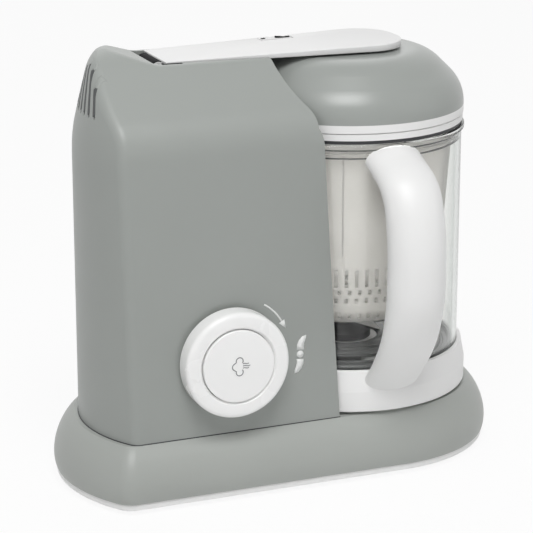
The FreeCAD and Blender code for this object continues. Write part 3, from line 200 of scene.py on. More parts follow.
paper = bpy.data.materials.new("studio_paper")
paper.use_nodes = True
paper_tree = paper.node_tree
paper_shader = paper_tree.nodes["Principled BSDF"]
paper_shader.inputs["Base Color"].default_value = PAPER
paper_shader.inputs["Roughness"].default_value = PAPER_ROUGH
glow = paper_tree.nodes.new("ShaderNodeEmission")
glow.inputs["Strength"].default_value = 1.0
paper_mix = paper_tree.nodes.new("ShaderNodeMixShader")
paper_tree.links.new(seen_share(paper_tree, FLOOR_GLOW), paper_mix.inputs["Fac"])
paper_tree.links.new(paper_shader.outputs["BSDF"], paper_mix.inputs[1])
paper_tree.links.new(glow.outputs["Emission"], paper_mix.inputs[2])
paper_tree.links.new(paper_mix.outputs["Shader"], paper_tree.nodes["Material Output"].inputs["Surface"])
floor_mesh.materials.append(paper)
print("floor", 2 * FLOOR_HALF, "m across")

# %% [markdown]
# ## Shared effects
# Moulded plastic is never one flat colour. The mould's fine spark texture scatters the gloss, the colour
# drifts a little with the flow of the melt, and hands polish some places more than others. Each of these is a
# node group with named sockets, so that every finish can place it with values of its own. All of them start
# from noise in the object's own coordinates, which needs no unwrapping.

# %% Group helpers


def new_group(name, inputs, outputs):
    """An empty shader node group with its sockets, and its input and output nodes."""
    group = bpy.data.node_groups.new(name, "ShaderNodeTree")
    for label, kind in inputs:
        group.interface.new_socket(label, in_out="INPUT", socket_type=kind)
    for label, kind in outputs:
        group.interface.new_socket(label, in_out="OUTPUT", socket_type=kind)
    return group, group.nodes.new("NodeGroupInput"), group.nodes.new("NodeGroupOutput")


def noise_in(group, scale, detail, stretch=(1, 1, 1)):
    """A noise texture in the object's own coordinates, with a scale socket."""
    place = group.nodes.new("ShaderNodeTexCoord")
    shape = group.nodes.new("ShaderNodeMapping")
    shape.inputs["Scale"].default_value = stretch
    noise = group.nodes.new("ShaderNodeTexNoise")
    noise.inputs["Detail"].default_value = detail
    group.links.new(place.outputs["Object"], shape.inputs["Vector"])
    group.links.new(shape.outputs["Vector"], noise.inputs["Vector"])
    group.links.new(scale, noise.inputs["Scale"])
    return noise


print("node groups before the first effect", len(bpy.data.node_groups))

# %% Fine heights
BRUSH_STRETCH = (1, 1, 14)


def height_group(name, detail, stretch=(1, 1, 1)):
    """A fine texture, as a height."""
    group, given, made = new_group(name, [("Scale", "NodeSocketFloat")], [("Height", "NodeSocketFloat")])
    noise = noise_in(group, given.outputs["Scale"], detail, stretch)
    group.links.new(noise.outputs["Fac"], made.inputs["Height"])
    return group


spark = height_group("spark_texture", detail=3.0)
brush = height_group("brushed_lines", detail=2.0, stretch=BRUSH_STRETCH)
print("heights", spark.name, brush.name)

# %% Drifting colour and uneven polish
# A Mix node has sockets of one name for several kinds of value, so those for colours are picked by number.
MIX_A, MIX_B, MIX_RESULT = 6, 7, 2


def drift_group():
    """A slow drift between two near colours."""
    group, given, made = new_group(
        "colour_drift",
        [("Scale", "NodeSocketFloat"), ("Colour A", "NodeSocketColor"), ("Colour B", "NodeSocketColor")],
        [("Colour", "NodeSocketColor")])
    noise = noise_in(group, given.outputs["Scale"], detail=2.0)
    blend = group.nodes.new("ShaderNodeMix")
    blend.data_type = "RGBA"
    group.links.new(noise.outputs["Fac"], blend.inputs["Factor"])
    group.links.new(given.outputs["Colour A"], blend.inputs[MIX_A])
    group.links.new(given.outputs["Colour B"], blend.inputs[MIX_B])
    group.links.new(blend.outputs[MIX_RESULT], made.inputs["Colour"])
    return group


def polish_group():
    """Uneven gloss, between a low and a high roughness."""
    group, given, made = new_group(
        "uneven_polish",
        [("Scale", "NodeSocketFloat"), ("Low", "NodeSocketFloat"), ("High", "NodeSocketFloat")],
        [("Roughness", "NodeSocketFloat")])
    noise = noise_in(group, given.outputs["Scale"], detail=4.0)
    spread = group.nodes.new("ShaderNodeMapRange")
    group.links.new(noise.outputs["Fac"], spread.inputs["Value"])
    group.links.new(given.outputs["Low"], spread.inputs["To Min"])
    group.links.new(given.outputs["High"], spread.inputs["To Max"])
    group.links.new(spread.outputs["Result"], made.inputs["Roughness"])
    return group


drift = drift_group()
polish = polish_group()
print("groups", [group.name for group in bpy.data.node_groups])

# %% [markdown]
# ## How a finish is laid out
# One function lays out a finish: the drifting colour feeds the base colour, the uneven polish feeds the
# roughness and a fine height feeds a bump. Values that are the same all over, such as how metallic it is or
# how far clear plastic bends light, are set on the shader itself.

# %% Finish helpers
SPARK_SCALE = 2600.0
DRIFT_SCALE = 14.0
POLISH_SCALE = 40.0


def place_group(tree, group, **values):
    """A group placed in a material, with its input values."""
    holder = tree.nodes.new("ShaderNodeGroup")
    holder.node_tree = group
    for label, value in values.items():
        holder.inputs[label.replace("_", " ")].default_value = value
    return holder


def shade(colour, share):
    """A colour made lighter or darker by a share, with an alpha."""
    return tuple(min(1.0, part * share) for part in colour) + (1.0,)


def finish(name, colour, gloss, texture=spark, texture_scale=SPARK_SCALE, depth=0.02, spread=0.03, **fixed):
    """A finish from the shared effects. gloss is the lowest and highest roughness."""
    material = bpy.data.materials.new(name)
    material.use_nodes = True
    tree = material.node_tree
    shader = tree.nodes["Principled BSDF"]
    colours = place_group(tree, drift, Scale=DRIFT_SCALE, Colour_A=shade(colour, 1 - spread),
                          Colour_B=shade(colour, 1 + spread))
    rough = place_group(tree, polish, Scale=POLISH_SCALE, Low=gloss[0], High=gloss[1])
    height = place_group(tree, texture, Scale=texture_scale)
    bump = tree.nodes.new("ShaderNodeBump")
    bump.inputs["Strength"].default_value = depth
    bump.inputs["Distance"].default_value = MM
    tree.links.new(colours.outputs["Colour"], shader.inputs["Base Color"])
    tree.links.new(rough.outputs["Roughness"], shader.inputs["Roughness"])
    tree.links.new(height.outputs["Height"], bump.inputs["Height"])
    tree.links.new(bump.outputs["Normal"], shader.inputs["Normal"])
    for socket, value in fixed.items():
        shader.inputs[socket.replace("_", " ")].default_value = value
    return material


print("a colour a tenth darker", [round(part, 2) for part in shade((0.5, 0.5, 0.5), 0.9)])

# %% [markdown]
# ## Plastics, rubbers and metals
# The housing is a sage grey with a fine satin texture, and the lid's dome is the same grey with more gloss.
# The plinth takes a lighter copy of the grey, painted light for the extra light that its upturned flare
# catches. The knob and the button take a lighter white, and the arm a darker copy of the white, painted shade
# that keeps its top, which the key lamp lights most, from bleaching. Each finish stands under the name of a
# material slot in the record, save the last four, which a few pieces take in place of their slot's own.

# %% Plastics, rubbers and metals
GREY = (0.325, 0.343, 0.327)
# A lighter copy of the grey: painted light for the plinth's upturned flare.
PLINTH_LIT_GREY = (0.375, 0.392, 0.372)
WHITE = (0.86, 0.86, 0.855)
KNOB_WHITE = (0.93, 0.93, 0.925)
# A darker copy of the white: painted shade on the arm's brightly lit top.
ARM_SHADED_WHITE = (0.76, 0.76, 0.757)
BRUSH_SCALE = 300.0
finishes = {
    "shell_grey": finish("shell_grey", GREY, (0.36, 0.46), depth=0.06),
    "plinth_grey": finish("plinth_grey", PLINTH_LIT_GREY, (0.36, 0.46), depth=0.06),
    "dome_grey": finish("dome_grey", GREY, (0.26, 0.34), depth=0.04),
    "white_plastic": finish("white_plastic", WHITE, (0.38, 0.48), spread=0.015),
    "button_grey": finish("button_white", KNOB_WHITE, (0.26, 0.36), spread=0.015),
    "dark_seal": finish("dark_seal", (0.035, 0.037, 0.04), (0.4, 0.5)),
    "grey_seal": finish("grey_seal", (0.12, 0.125, 0.125), (0.14, 0.24)),
    "black_plastic": finish("black_plastic", (0.018, 0.018, 0.02), (0.3, 0.4), Specular_IOR_Level=0.25),
    "rubber": finish("foot_rubber", (0.03, 0.03, 0.03), (0.6, 0.75)),
    "steel": finish("blade_steel", (0.62, 0.63, 0.64), (0.2, 0.3), texture=brush, texture_scale=BRUSH_SCALE,
                    Metallic=1.0),
    "zinc": finish("zinc_plate", (0.50, 0.51, 0.53), (0.3, 0.4), Metallic=1.0),
    "brass": finish("bush_bronze", (0.50, 0.36, 0.14), (0.3, 0.4), Metallic=1.0),
    "aluminium": finish("cast_aluminium", (0.55, 0.56, 0.57), (0.35, 0.5), Metallic=1.0),
    "board_green": finish("board_green", (0.02, 0.10, 0.04), (0.35, 0.45)),
    # Painted shade for the vents' slots.
    "vent_shade": finish("vent_shade", (0.075, 0.08, 0.08), (0.5, 0.6)),
    "matt_black": finish("matt_black", (0.012, 0.012, 0.013), (0.7, 0.8), Specular_IOR_Level=0.1),
    "knob_white": finish("knob_white", KNOB_WHITE, (0.22, 0.32), spread=0.015),
    "arm_shaded_white": finish("arm_shaded_white", ARM_SHADED_WHITE, (0.36, 0.46), spread=0.015),
}
print("finishes", len(finishes))

# %% [markdown]
# ## Clear plastic
# The jug is clear, and the basket in it is the same plastic with a frosted face. Light has to reach what is
# inside, but a lamp's shadow ray treats a refracting wall as solid. So both finishes let shadow rays through
# their alpha, while the camera still sees a wall that bends and mirrors light. A low alpha alone would show
# the basket's far holes as sharply as the near ones. The frosted wall passes light through a rough face
# instead, which blurs what lies behind it, and hardly bends it, as a thin sheet does.

# %% Clear finishes


def let_light_through(material, shadow):
    """Give a clear finish a full alpha for what is seen and a low one for the lamps' shadows."""
    tree = material.node_tree
    path = tree.nodes.new("ShaderNodeLightPath")
    ease = tree.nodes.new("ShaderNodeMapRange")
    ease.inputs["To Min"].default_value = 1.0
    ease.inputs["To Max"].default_value = shadow
    tree.links.new(path.outputs["Is Shadow Ray"], ease.inputs["Value"])
    tree.links.new(ease.outputs["Result"], tree.nodes["Principled BSDF"].inputs["Alpha"])


# Painted shade: a clear wall seen along its face turns darker, for the dark lines that refraction would draw.
def paint_edge_shade(material, edge_shade_colour, start):
    """Paint shade on a clear finish where it is seen along its face, for the dark edges that refraction draws.
    """
    tree = material.node_tree
    into = tree.nodes["Principled BSDF"].inputs["Base Color"]
    plain = into.links[0].from_socket
    turned_away = tree.nodes.new("ShaderNodeLayerWeight")
    ease = tree.nodes.new("ShaderNodeMapRange")
    ease.inputs["From Min"].default_value = start
    blend = tree.nodes.new("ShaderNodeMix")
    blend.data_type = "RGBA"
    blend.inputs[MIX_B].default_value = edge_shade_colour + (1.0,)
    tree.links.new(turned_away.outputs["Facing"], ease.inputs["Value"])
    tree.links.new(ease.outputs["Result"], blend.inputs["Factor"])
    tree.links.new(plain, blend.inputs[MIX_A])
    tree.links.new(blend.outputs[MIX_RESULT], into)


jug_clear = finish("jug_clear", (0.94, 0.943, 0.932), (0.01, 0.03), depth=0.0, spread=0.01,
                   Transmission_Weight=1.0, IOR=1.36)
let_light_through(jug_clear, shadow=0.06)
# Painted shade along the jug's edges.
paint_edge_shade(jug_clear, (0.22, 0.28, 0.25), start=0.5)
finishes["smoke_clear"] = jug_clear

basket_frost = finish("basket_frost", (0.95, 0.936, 0.91), (0.4, 0.5), Transmission_Weight=0.6, IOR=1.12)
let_light_through(basket_frost, shadow=0.12)
# Painted shade along the basket's edges.
paint_edge_shade(basket_frost, (0.40, 0.40, 0.37), start=0.6)
finishes["basket_clear"] = basket_frost
print("clear finishes", [name for name in finishes if "clear" in name])

# %% [markdown]
# ## Dressing the solids
# The record gives every solid a material slot, and a slot has a finish of the same name. Finishes could be
# put on by hand, but a loop forgets no piece. Only the steam arm's two white mouldings take another white, the
# darker copy that paints shade on them.

# %% Dress the solids
slot_of = {part["node"]: part["material_slot"] for part in frame["record"]["subparts"]}
# The arm's mouldings take the darker copy of the white, which paints shade.
own_finish = {"arm_cover": "arm_shaded_white", "latch_slider": "arm_shaded_white"}
for name, item in nodes.items():
    item.data.materials.clear()
    item.data.materials.append(finishes[own_finish.get(name, slot_of[name])])
print("dressed", len(nodes), "solids in", len(set(slot_of.values())), "slots")

# %% [markdown]
# ## Smooth faces and soft edges
# A moulded edge always has a small radius, and its thin highlight tells the eye the size of the part. The
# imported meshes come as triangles: smooth shading rounds what is curved, and edges sharper than an angle stay
# crisp. On the arm's cover, its latch and the base tray, a bevel modifier rounds those edges without touching
# the solid's mesh.

# %% Smooth faces and soft edges
SHARP = math.radians(32)
FLAT = math.radians(0.4)
SAME_PLACE = 1e-6
SOFT_STEPS = 3
SOFT_NODES = {"arm_cover": 0.9, "latch_slider": 0.4, "base_tray": 0.8}


def soften(name, width):
    """Round a node's hard edges with modifiers that leave its own mesh as it is."""
    item = nodes[name]
    weld = item.modifiers.new("weld", "WELD")
    weld.merge_threshold = SAME_PLACE
    flat = item.modifiers.new("flat", "DECIMATE")
    flat.decimate_type = "DISSOLVE"
    flat.angle_limit = FLAT
    edge = item.modifiers.new("soft_edge", "BEVEL")
    edge.width = width
    edge.segments = SOFT_STEPS
    edge.limit_method = "ANGLE"
    edge.angle_limit = SHARP
    edge.harden_normals = True


for item in nodes.values():
    item.data.shade_smooth()
    item.data.set_sharp_from_angle(angle=SHARP)
for name, width in SOFT_NODES.items():
    soften(name, width * MM)
print("softened edges on", [name for name in nodes if nodes[name].modifiers])

# %% [markdown]
# ## Turning a profile
# Most of the jug and the knob is round. A potter would draw half of the section and turn it, and so does this
# script: a list of corners, each with its own rounding, is carried round an axis. The screw modifier could do
# it too, but points that are placed by hand allow an axis that lies level, as the knob's does.

# %% Soft profiles
ROUND_STEPS = 6


def soft_profile(corners):
    """The points of a closed section. A corner is its reach, its height and its rounding, in millimetres."""
    points = []
    for number, (reach, height, rounding) in enumerate(corners):
        here = Vector((reach, height))
        to_last = (Vector(corners[number - 1][:2]) - here).normalized()
        to_next = (Vector(corners[(number + 1) % len(corners)][:2]) - here).normalized()
        if not rounding:
            points.append(here * MM)
            continue
        run = rounding / math.tan(to_last.angle(to_next) / 2)
        start, end = here + to_last * run, here + to_next * run
        for step in range(ROUND_STEPS + 1):
            share = step / ROUND_STEPS
            points.append(start.lerp(here, share).lerp(here.lerp(end, share), share) * MM)
    return points


soft_square = soft_profile([(0, 0, 0), (9, 0, 2), (9, 9, 0), (0, 9, 0)])
print("a square with one soft corner has", len(soft_square), "points")

# %% Axes


def upright(axis):
    """Turns about a standing axis: heights are levels above the floor."""
    return lambda reach, height, angle: Vector(
        (axis.x + reach * math.cos(angle), axis.y + reach * math.sin(angle), height))


def level(axis):
    """Turns about an axis from front to back: heights are depths behind the axis point."""
    return lambda reach, height, angle: Vector(
        (axis.x + reach * math.cos(angle), axis.y + height, axis.z - reach * math.sin(angle)))


quarter = upright(Vector((0, 0, 0)))(1.0, 0.0, math.pi / 2)
print("a quarter turn about a standing axis leads to", [round(value, 3) for value in quarter])

# %% Turned pieces
TURN_STEPS = 160
NO_GAP = 1e-7


def finished_object(name, form, finish_slot):
    """An object from a bmesh, smooth where it is curved, in the finish of a slot."""
    bmesh.ops.remove_doubles(form, verts=form.verts, dist=NO_GAP)
    bmesh.ops.recalc_face_normals(form, faces=form.faces)
    mesh = bpy.data.meshes.new(name)
    form.to_mesh(mesh)
    form.free()
    mesh.shade_smooth()
    mesh.set_sharp_from_angle(angle=SHARP)
    mesh.materials.append(finishes[finish_slot])
    item = bpy.data.objects.new(name, mesh)
    bpy.context.collection.objects.link(item)
    return item


def turned(name, corners, place, finish_slot):
    """A section turned all the way round."""
    form = bmesh.new()
    section = soft_profile(corners)
    rings = []
    for step in range(TURN_STEPS):
        angle = 2 * math.pi * step / TURN_STEPS
        rings.append([form.verts.new(place(point.x, point.y, angle)) for point in section])
    for step, ring in enumerate(rings):
        after = rings[(step + 1) % TURN_STEPS]
        for number in range(len(section)):
            last = number - 1
            form.faces.new((ring[last], ring[number], after[number], after[last]))
    return finished_object(name, form, finish_slot)


def stands_for(item, body, node):
    """The piece rides on a body in place of a solid."""
    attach(item, body)
    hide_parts(node)
    return item


print("pieces are turned in", TURN_STEPS, "steps")

# %% [markdown]
# ## The jug's bowl
# The bowl is a clear tumbler with an even wall, a rounded foot, a ledge inside the mouth for the basket's
# flange and a small lip outside. The right side of the picture shows both faces of its wall as fine lines, so
# the section has the real wall and is turned in fine steps, which keeps the refraction free of flats.

# %% Bowl
BOWL_LIP = 1.6
LIP_LOW = 4.0
LIP_SIDE = 2.4
BOWL_WALL = 2.4
BOWL_FLOOR = 3.0
BOWL_BORE = 14.0
LEDGE_DROP = 8.0
LEDGE_WIDE = 1.4
bowl_low, bowl_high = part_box("jug_bowl")
jug_axis = middle("jug_bowl")
round_jug = upright(jug_axis)
lip_reach = (bowl_high.x - bowl_low.x) / 2 / MM
bowl_reach = lip_reach - BOWL_LIP
room_reach = bowl_reach - BOWL_WALL
foot = bowl_low.z / MM
brim = bowl_high.z / MM
floor_level = foot + BOWL_FLOOR
ledge = brim - LEDGE_DROP
stands_for(turned("clear_bowl", [
    (BOWL_BORE, foot, 0),
    (bowl_reach, foot, 2.0),
    (bowl_reach, brim - LIP_LOW, 1.0),
    (lip_reach, brim - LIP_SIDE, 0.8),
    (lip_reach, brim, 0.9),
    (room_reach + LEDGE_WIDE, brim, 0.5),
    (room_reach + LEDGE_WIDE, ledge, 0.4),
    (room_reach, ledge, 0.4),
    (room_reach, floor_level, 1.5),
    (BOWL_BORE, floor_level, 0),
], round_jug, "smoke_clear"), "jug", "jug_bowl")
print("bowl across", round(2 * bowl_reach, 1), "mm, high", round(brim - foot, 1), "mm")

# %% [markdown]
# ## The collar
# A white collar holds the bowl's foot, and the jug stands on it when it is taken off. It is round, so its
# section is turned, with a step in which the bowl sits. A plain ring would do for the eye, but the jug is
# also seen twisted and from below.

# %% Collar
COLLAR_REACH = 73.8
COLLAR_NECK = 71.6
COLLAR_BORE = 59.0
COLLAR_HIGH = 24.7
BOWL_GAP = 0.05
collar_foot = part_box("jug_collar")[0].z / MM
stands_for(turned("collar_ring", [
    (COLLAR_BORE, collar_foot, 0.3),
    (COLLAR_REACH, collar_foot, 0.8),
    (COLLAR_REACH, collar_foot + COLLAR_HIGH / 2, 3.0),
    (COLLAR_NECK, collar_foot + COLLAR_HIGH, 0.7),
    (bowl_reach + BOWL_GAP, collar_foot + COLLAR_HIGH, 0.3),
    (bowl_reach + BOWL_GAP, foot - BOWL_GAP, 0),
    (COLLAR_BORE, foot - BOWL_GAP, 0),
], round_jug, "white_plastic"), "jug", "jug_collar")
print("collar across", 2 * COLLAR_REACH, "mm")

# %% [markdown]
# ## The claws
# Three claws inside the collar hook under the seat's lugs when the jug is twisted. Each is a short bar that
# narrows towards its tip. Corners that are placed round the jug's axis follow the bore better than a scaled
# cube would, and a bevel modifier takes off the sharp edges.

# %% Claws
CLAWS = 3
CLAW_REACH = 2.4
CLAW_HALF = 9.0
CLAW_THICK = 1.4
CLAW_ROOT = 0.5
CLAW_TAPER = 0.9
CLAW_SOFT = 0.3


def corners_round(form, corners, height, angle):
    """Corners about the jug's axis at a level. Each has a reach in millimetres and an angle aside."""
    return [form.verts.new(round_jug(out * MM, height * MM, angle + side)) for out, side in corners]


def close_bar(form, low_end, high_end):
    """Close a bar between two four-cornered ends."""
    for corner in range(4):
        form.faces.new((low_end[corner - 1], low_end[corner], high_end[corner], high_end[corner - 1]))
    form.faces.new(low_end)
    form.faces.new(high_end)


def take_off_edges(item, width):
    """Round all edges of a small piece."""
    edge = item.modifiers.new("soft_edge", "BEVEL")
    edge.width = width * MM
    edge.segments = 2


claw_half = CLAW_HALF / COLLAR_BORE
claw_tip = COLLAR_BORE - CLAW_REACH
claw_corners = [(COLLAR_BORE + CLAW_ROOT, -claw_half), (claw_tip, -claw_half * CLAW_TAPER),
                (claw_tip, claw_half * CLAW_TAPER), (COLLAR_BORE + CLAW_ROOT, claw_half)]
claw_form = bmesh.new()
for number in range(CLAWS):
    angle = 2 * math.pi / CLAWS * number
    claw_low = corners_round(claw_form, claw_corners, collar_foot, angle)
    claw_high = corners_round(claw_form, claw_corners, collar_foot + CLAW_THICK, angle)
    close_bar(claw_form, claw_low, claw_high)
claws = finished_object("collar_claws", claw_form, "white_plastic")
take_off_edges(claws, CLAW_SOFT)
stands_for(claws, "jug", "jug_collar")
print("claws", CLAWS, "reach", CLAW_REACH, "mm")

# %% [markdown]
# ## The handle
# The handle is a broad paddle. It leaves the bowl under the rim, slopes to an elbow, swells forward and tucks
# into the collar. Its back is nearly flat and its front is rounded, like a shoehorn. A bevelled curve would
# have one section all along, so the section is carried along a path by hand and may swell on its way. The
# path follows the paddle's two edges in the picture, and its top end is trimmed to the bowl.

# %% The handle's path and section
PADDLE_HALF = 17.6
PADDLE_BACK = 3.0
BACK_CURVE = 0.6
SECTION_STEPS = 36
# Each point is a reach from the jug's axis, a level, and how far the front bulges there, in millimetres.
edge_path = [(69.0, 188.0, 9.5), (77.0, 184.3, 10.0), (84.5, 180.6, 11.0), (91.0, 174.8, 12.5),
             (95.4, 165.5, 14.0), (98.4, 150.0, 15.5), (99.2, 135.0, 16.2), (98.6, 115.0, 15.5),
             (95.0, 97.0, 12.0), (89.4, 84.0, 9.5), (81.4, 72.0, 8.0), (74.0, 63.0, 7.5), (67.5, 56.0, 7.5)]


def smooth_path(points, steps):
    """A smooth curve through all of the points."""
    spots = [Vector(point) for point in points]
    spots = [spots[0] * 2 - spots[1]] + spots + [spots[-1] * 2 - spots[-2]]
    curve = []
    for number in range(1, len(spots) - 2):
        a, b, c, d = spots[number - 1:number + 3]
        for step in range(steps):
            t = step / steps
            curve.append(0.5 * (b * 2 + (c - a) * t + (a * 2 - b * 5 + c * 4 - d) * t ** 2
                                + (b * 3 - a - c * 3 + d) * t ** 3))
    return curve + [spots[-2]]


def paddle_section(bulge):
    """The paddle's section: how far aside and how far out, round its outline."""
    outline = []
    for step in range(SECTION_STEPS):
        angle = 2 * math.pi * step / SECTION_STEPS
        rise = math.sin(angle)
        out = bulge * rise if rise > 0 else -PADDLE_BACK * abs(rise) ** BACK_CURVE
        outline.append((PADDLE_HALF * math.cos(angle), out))
    return outline


print("paddle wide", 2 * PADDLE_HALF, "mm, points on its path", len(edge_path))

# %% Handle
PADDLE_STEPS = 8
BOWL_TOUCH = 0.1
paddle_form = bmesh.new()
paddle_rings = []
paddle_curve = smooth_path(edge_path, PADDLE_STEPS)
for number, spot in enumerate(paddle_curve):
    ahead = paddle_curve[min(number + 1, len(paddle_curve) - 1)] - paddle_curve[max(number - 1, 0)]
    ahead = Vector((ahead.x, ahead.y)).normalized()
    outward = Vector((-ahead.y, ahead.x))
    ring = []
    for aside, out in paddle_section(spot.z):
        corner = Vector((spot.x, spot.y)) + outward * out
        if number == 0:
            bowl_face = math.sqrt((bowl_reach + BOWL_TOUCH) ** 2 - aside ** 2)
            corner += ahead * (bowl_face - corner.x) / ahead.x
        ring.append(paddle_form.verts.new(
            (jug_axis.x + aside * MM, jug_axis.y - corner.x * MM, corner.y * MM)))
    paddle_rings.append(ring)
for ring, after in zip(paddle_rings, paddle_rings[1:]):
    for number in range(SECTION_STEPS):
        paddle_form.faces.new((ring[number - 1], ring[number], after[number], after[number - 1]))
paddle_form.faces.new(paddle_rings[0])
paddle_form.faces.new(paddle_rings[-1])
paddle = stands_for(finished_object("paddle_handle", paddle_form, "white_plastic"), "jug", "jug_collar")
paddle_front = min(vert.co.y for vert in paddle.data.vertices) - cad_box[0].y
print("paddle rings", len(paddle_rings), "front", round(paddle_front / MM, 2), "mm inside the box")

# %% [markdown]
# ## The steam basket
# The food steams in a frosted basket. Its lower wall is pierced by a band of upright slots and rows of small
# square holes, and its floor by rings of holes. Cutting hundreds of holes with booleans is slow and brittle.
# The basket is instead laid out as one sheet of small faces, the faces of the holes are left out, and a
# solidify modifier gives the sheet its wall.

# %% The basket's wall and holes
BASKET_TOP_REACH = 62.0
BASKET_FOOT_REACH = 55.0
BASKET_COVE = 9.0
basket_low, basket_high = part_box("steam_basket")
flange_reach = (basket_high.x - basket_low.x) / 2 / MM
basket_foot = basket_low.z / MM
basket_brim = basket_high.z / MM


def wall_reach(height):
    """How far the basket's leaning wall is from the axis at a level."""
    share = (height - basket_foot - BASKET_COVE) / (basket_brim - basket_foot - BASKET_COVE)
    return BASKET_FOOT_REACH + (BASKET_TOP_REACH - BASKET_FOOT_REACH) * share


def never(column):
    """No hole in this row."""
    return False


def every_third(column):
    """A narrow hole in every third column."""
    return column % 3 == 0


def shifted_third(column):
    """The same, one column further."""
    return column % 3 == 1


def floor_hole(column):
    """A long hole five columns wide, and a bar of ten."""
    return column % 15 < 5


print("basket high", round(basket_brim - basket_foot, 1), "mm")

# %% The basket's rows
FLANGE_EDGE = 0.6
FLANGE_FILLET = 1.2
rows = [(flange_reach, basket_brim - FLANGE_EDGE, never), (flange_reach, basket_brim, never),
        (BASKET_TOP_REACH + FLANGE_FILLET, basket_brim, never),
        (BASKET_TOP_REACH, basket_brim - FLANGE_FILLET, never)]
for rise, pierced in ((92.0, never), (72.0, never), (54.0, never), (36.0, never), (34.0, never),
                      (23.0, every_third), (21.5, never), (18.3, shifted_third), (16.3, never),
                      (13.1, every_third), (11.5, never), (BASKET_COVE, never)):
    rows.append((wall_reach(basket_foot + rise), basket_foot + rise, pierced))
for degrees, pierced in ((15, never), (40, shifted_third), (65, never), (90, never)):
    turn = math.radians(degrees)
    reach = BASKET_FOOT_REACH - BASKET_COVE * (1 - math.cos(turn))
    rows.append((reach, basket_foot + BASKET_COVE * (1 - math.sin(turn)), pierced))
for reach, pierced in ((41.0, never), (37.0, floor_hole), (30.0, never), (26.0, floor_hole), (18.0, never),
                       (14.0, floor_hole), (0.0, never)):
    rows.append((reach, basket_foot, pierced))
print("basket rows", len(rows))

# %% The basket's sheet
BASKET_COLUMNS = 180
BASKET_WALL = 1.4
basket_form = bmesh.new()
sheet = []
for reach, height, pierced in rows:
    sheet.append([basket_form.verts.new(
        round_jug(reach * MM, height * MM, 2 * math.pi * column / BASKET_COLUMNS))
        for column in range(BASKET_COLUMNS)])
holes = 0
for number in range(1, len(rows)):
    upper, lower, pierced = sheet[number - 1], sheet[number], rows[number][2]
    for column in range(BASKET_COLUMNS):
        beside = (column + 1) % BASKET_COLUMNS
        if pierced(column):
            holes += 1
        else:
            basket_form.faces.new((upper[column], upper[beside], lower[beside], lower[column]))
basket = stands_for(finished_object("frosted_basket", basket_form, "basket_clear"), "jug", "steam_basket")
wall = basket.modifiers.new("wall", "SOLIDIFY")
wall.thickness = BASKET_WALL * MM
wall.offset = -1.0
print("faces left out for holes", holes)

# %% [markdown]
# ## The ledge line
# Clear parts are seen by their edges. The ledge under the lid, on which the basket hangs, shows as a thin
# dark circle. Refraction alone draws it too faintly at this size, so a fine dark ring under the ledge paints
# that line of refraction.

# %% Ledge line
LINE_OUT, LINE_IN = 0.1, 0.7
LINE_TOP, LINE_FOOT = 0.2, 0.9
LINE_SOFT = 0.2
painted_ledge_line = turned("painted_ledge_line", [
    (room_reach - LINE_IN, ledge - LINE_FOOT, LINE_SOFT),
    (room_reach - LINE_OUT, ledge - LINE_FOOT, LINE_SOFT),
    (room_reach - LINE_OUT, ledge - LINE_TOP, LINE_SOFT),
    (room_reach - LINE_IN, ledge - LINE_TOP, LINE_SOFT),
], round_jug, "grey_seal")
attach(painted_ledge_line, "jug")
print("ledge line", round(brim - ledge + LINE_TOP, 1), "mm under the brim")

# %% [markdown]
# ## The floor seal
# A rubber seal lies round the bowl's floor. In the picture its lips are the stack of dark rings that shows
# beside the handle's foot. Rings laid one on another would leave gaps, so one section is turned: it goes up
# the grooved outside, over the high lip and down over two low ones.

# %% Floor seal
SEAL_GAP = 0.4
seal_edge = room_reach - SEAL_GAP
floor_seal = turned("floor_seal", [
    (room_reach - 10.8, floor_level + 0.1, 0),
    (room_reach - 1.8, floor_level + 0.1, 0),
    (seal_edge, floor_level + 1.2, 0.2),
    (seal_edge, floor_level + 2.0, 0.3),
    (room_reach - 1.4, floor_level + 2.3, 0.1),
    (room_reach - 1.4, floor_level + 2.9, 0.1),
    (seal_edge, floor_level + 3.2, 0.3),
    (seal_edge, floor_level + 4.6, 0.4),
    (room_reach - 2.6, floor_level + 4.6, 0.4),
    (room_reach - 3.4, floor_level + 2.0, 0.3),
    (room_reach - 5.4, floor_level + 2.0, 0.4),
    (room_reach - 6.2, floor_level + 0.9, 0.2),
    (room_reach - 7.2, floor_level + 0.9, 0.2),
    (room_reach - 8.0, floor_level + 2.0, 0.4),
    (room_reach - 10.0, floor_level + 2.0, 0.4),
    (room_reach - 10.8, floor_level + 0.9, 0.2),
], round_jug, "grey_seal")
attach(floor_seal, "jug")
print("floor seal across", round(2 * seal_edge, 1), "mm")

# %% [markdown]
# ## The layered seal
# The blades' base is sealed by a washer with steps, like a small terrace. A loop writes the corners of its
# four steps, each with a fine groove behind its edge, which catches the light as the picture's rings do.

# %% Layered seal
SEAL_BORE = 20.6
LIPS = 4
LIP_WIDE = 4.0
LIP_RISE = 1.0
LIP_TOP = 2.4
GROOVE_WIDE = 0.4
GROOVE_DEEP = 0.5
seal_low, seal_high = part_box("blade_seal")
seal_reach = (seal_high.x - seal_low.x) / 2 / MM
lips = [(SEAL_BORE, floor_level, 0), (seal_reach, floor_level, 0)]
for number in range(LIPS):
    lip_edge = seal_reach - LIP_WIDE * number
    lip_top = floor_level + LIP_RISE * (number + 1)
    lips += [(lip_edge, lip_top, 0.3), (lip_edge - LIP_TOP, lip_top, 0.2),
             (lip_edge - LIP_TOP - GROOVE_WIDE, lip_top - GROOVE_DEEP, 0.1)]
lips.append((SEAL_BORE, floor_level + LIP_RISE * LIPS, 0.3))
stands_for(turned("layered_seal", lips, round_jug, "grey_seal"), "jug", "blade_seal")
print("layered seal across", round(2 * seal_reach, 1), "mm, lips", LIPS)

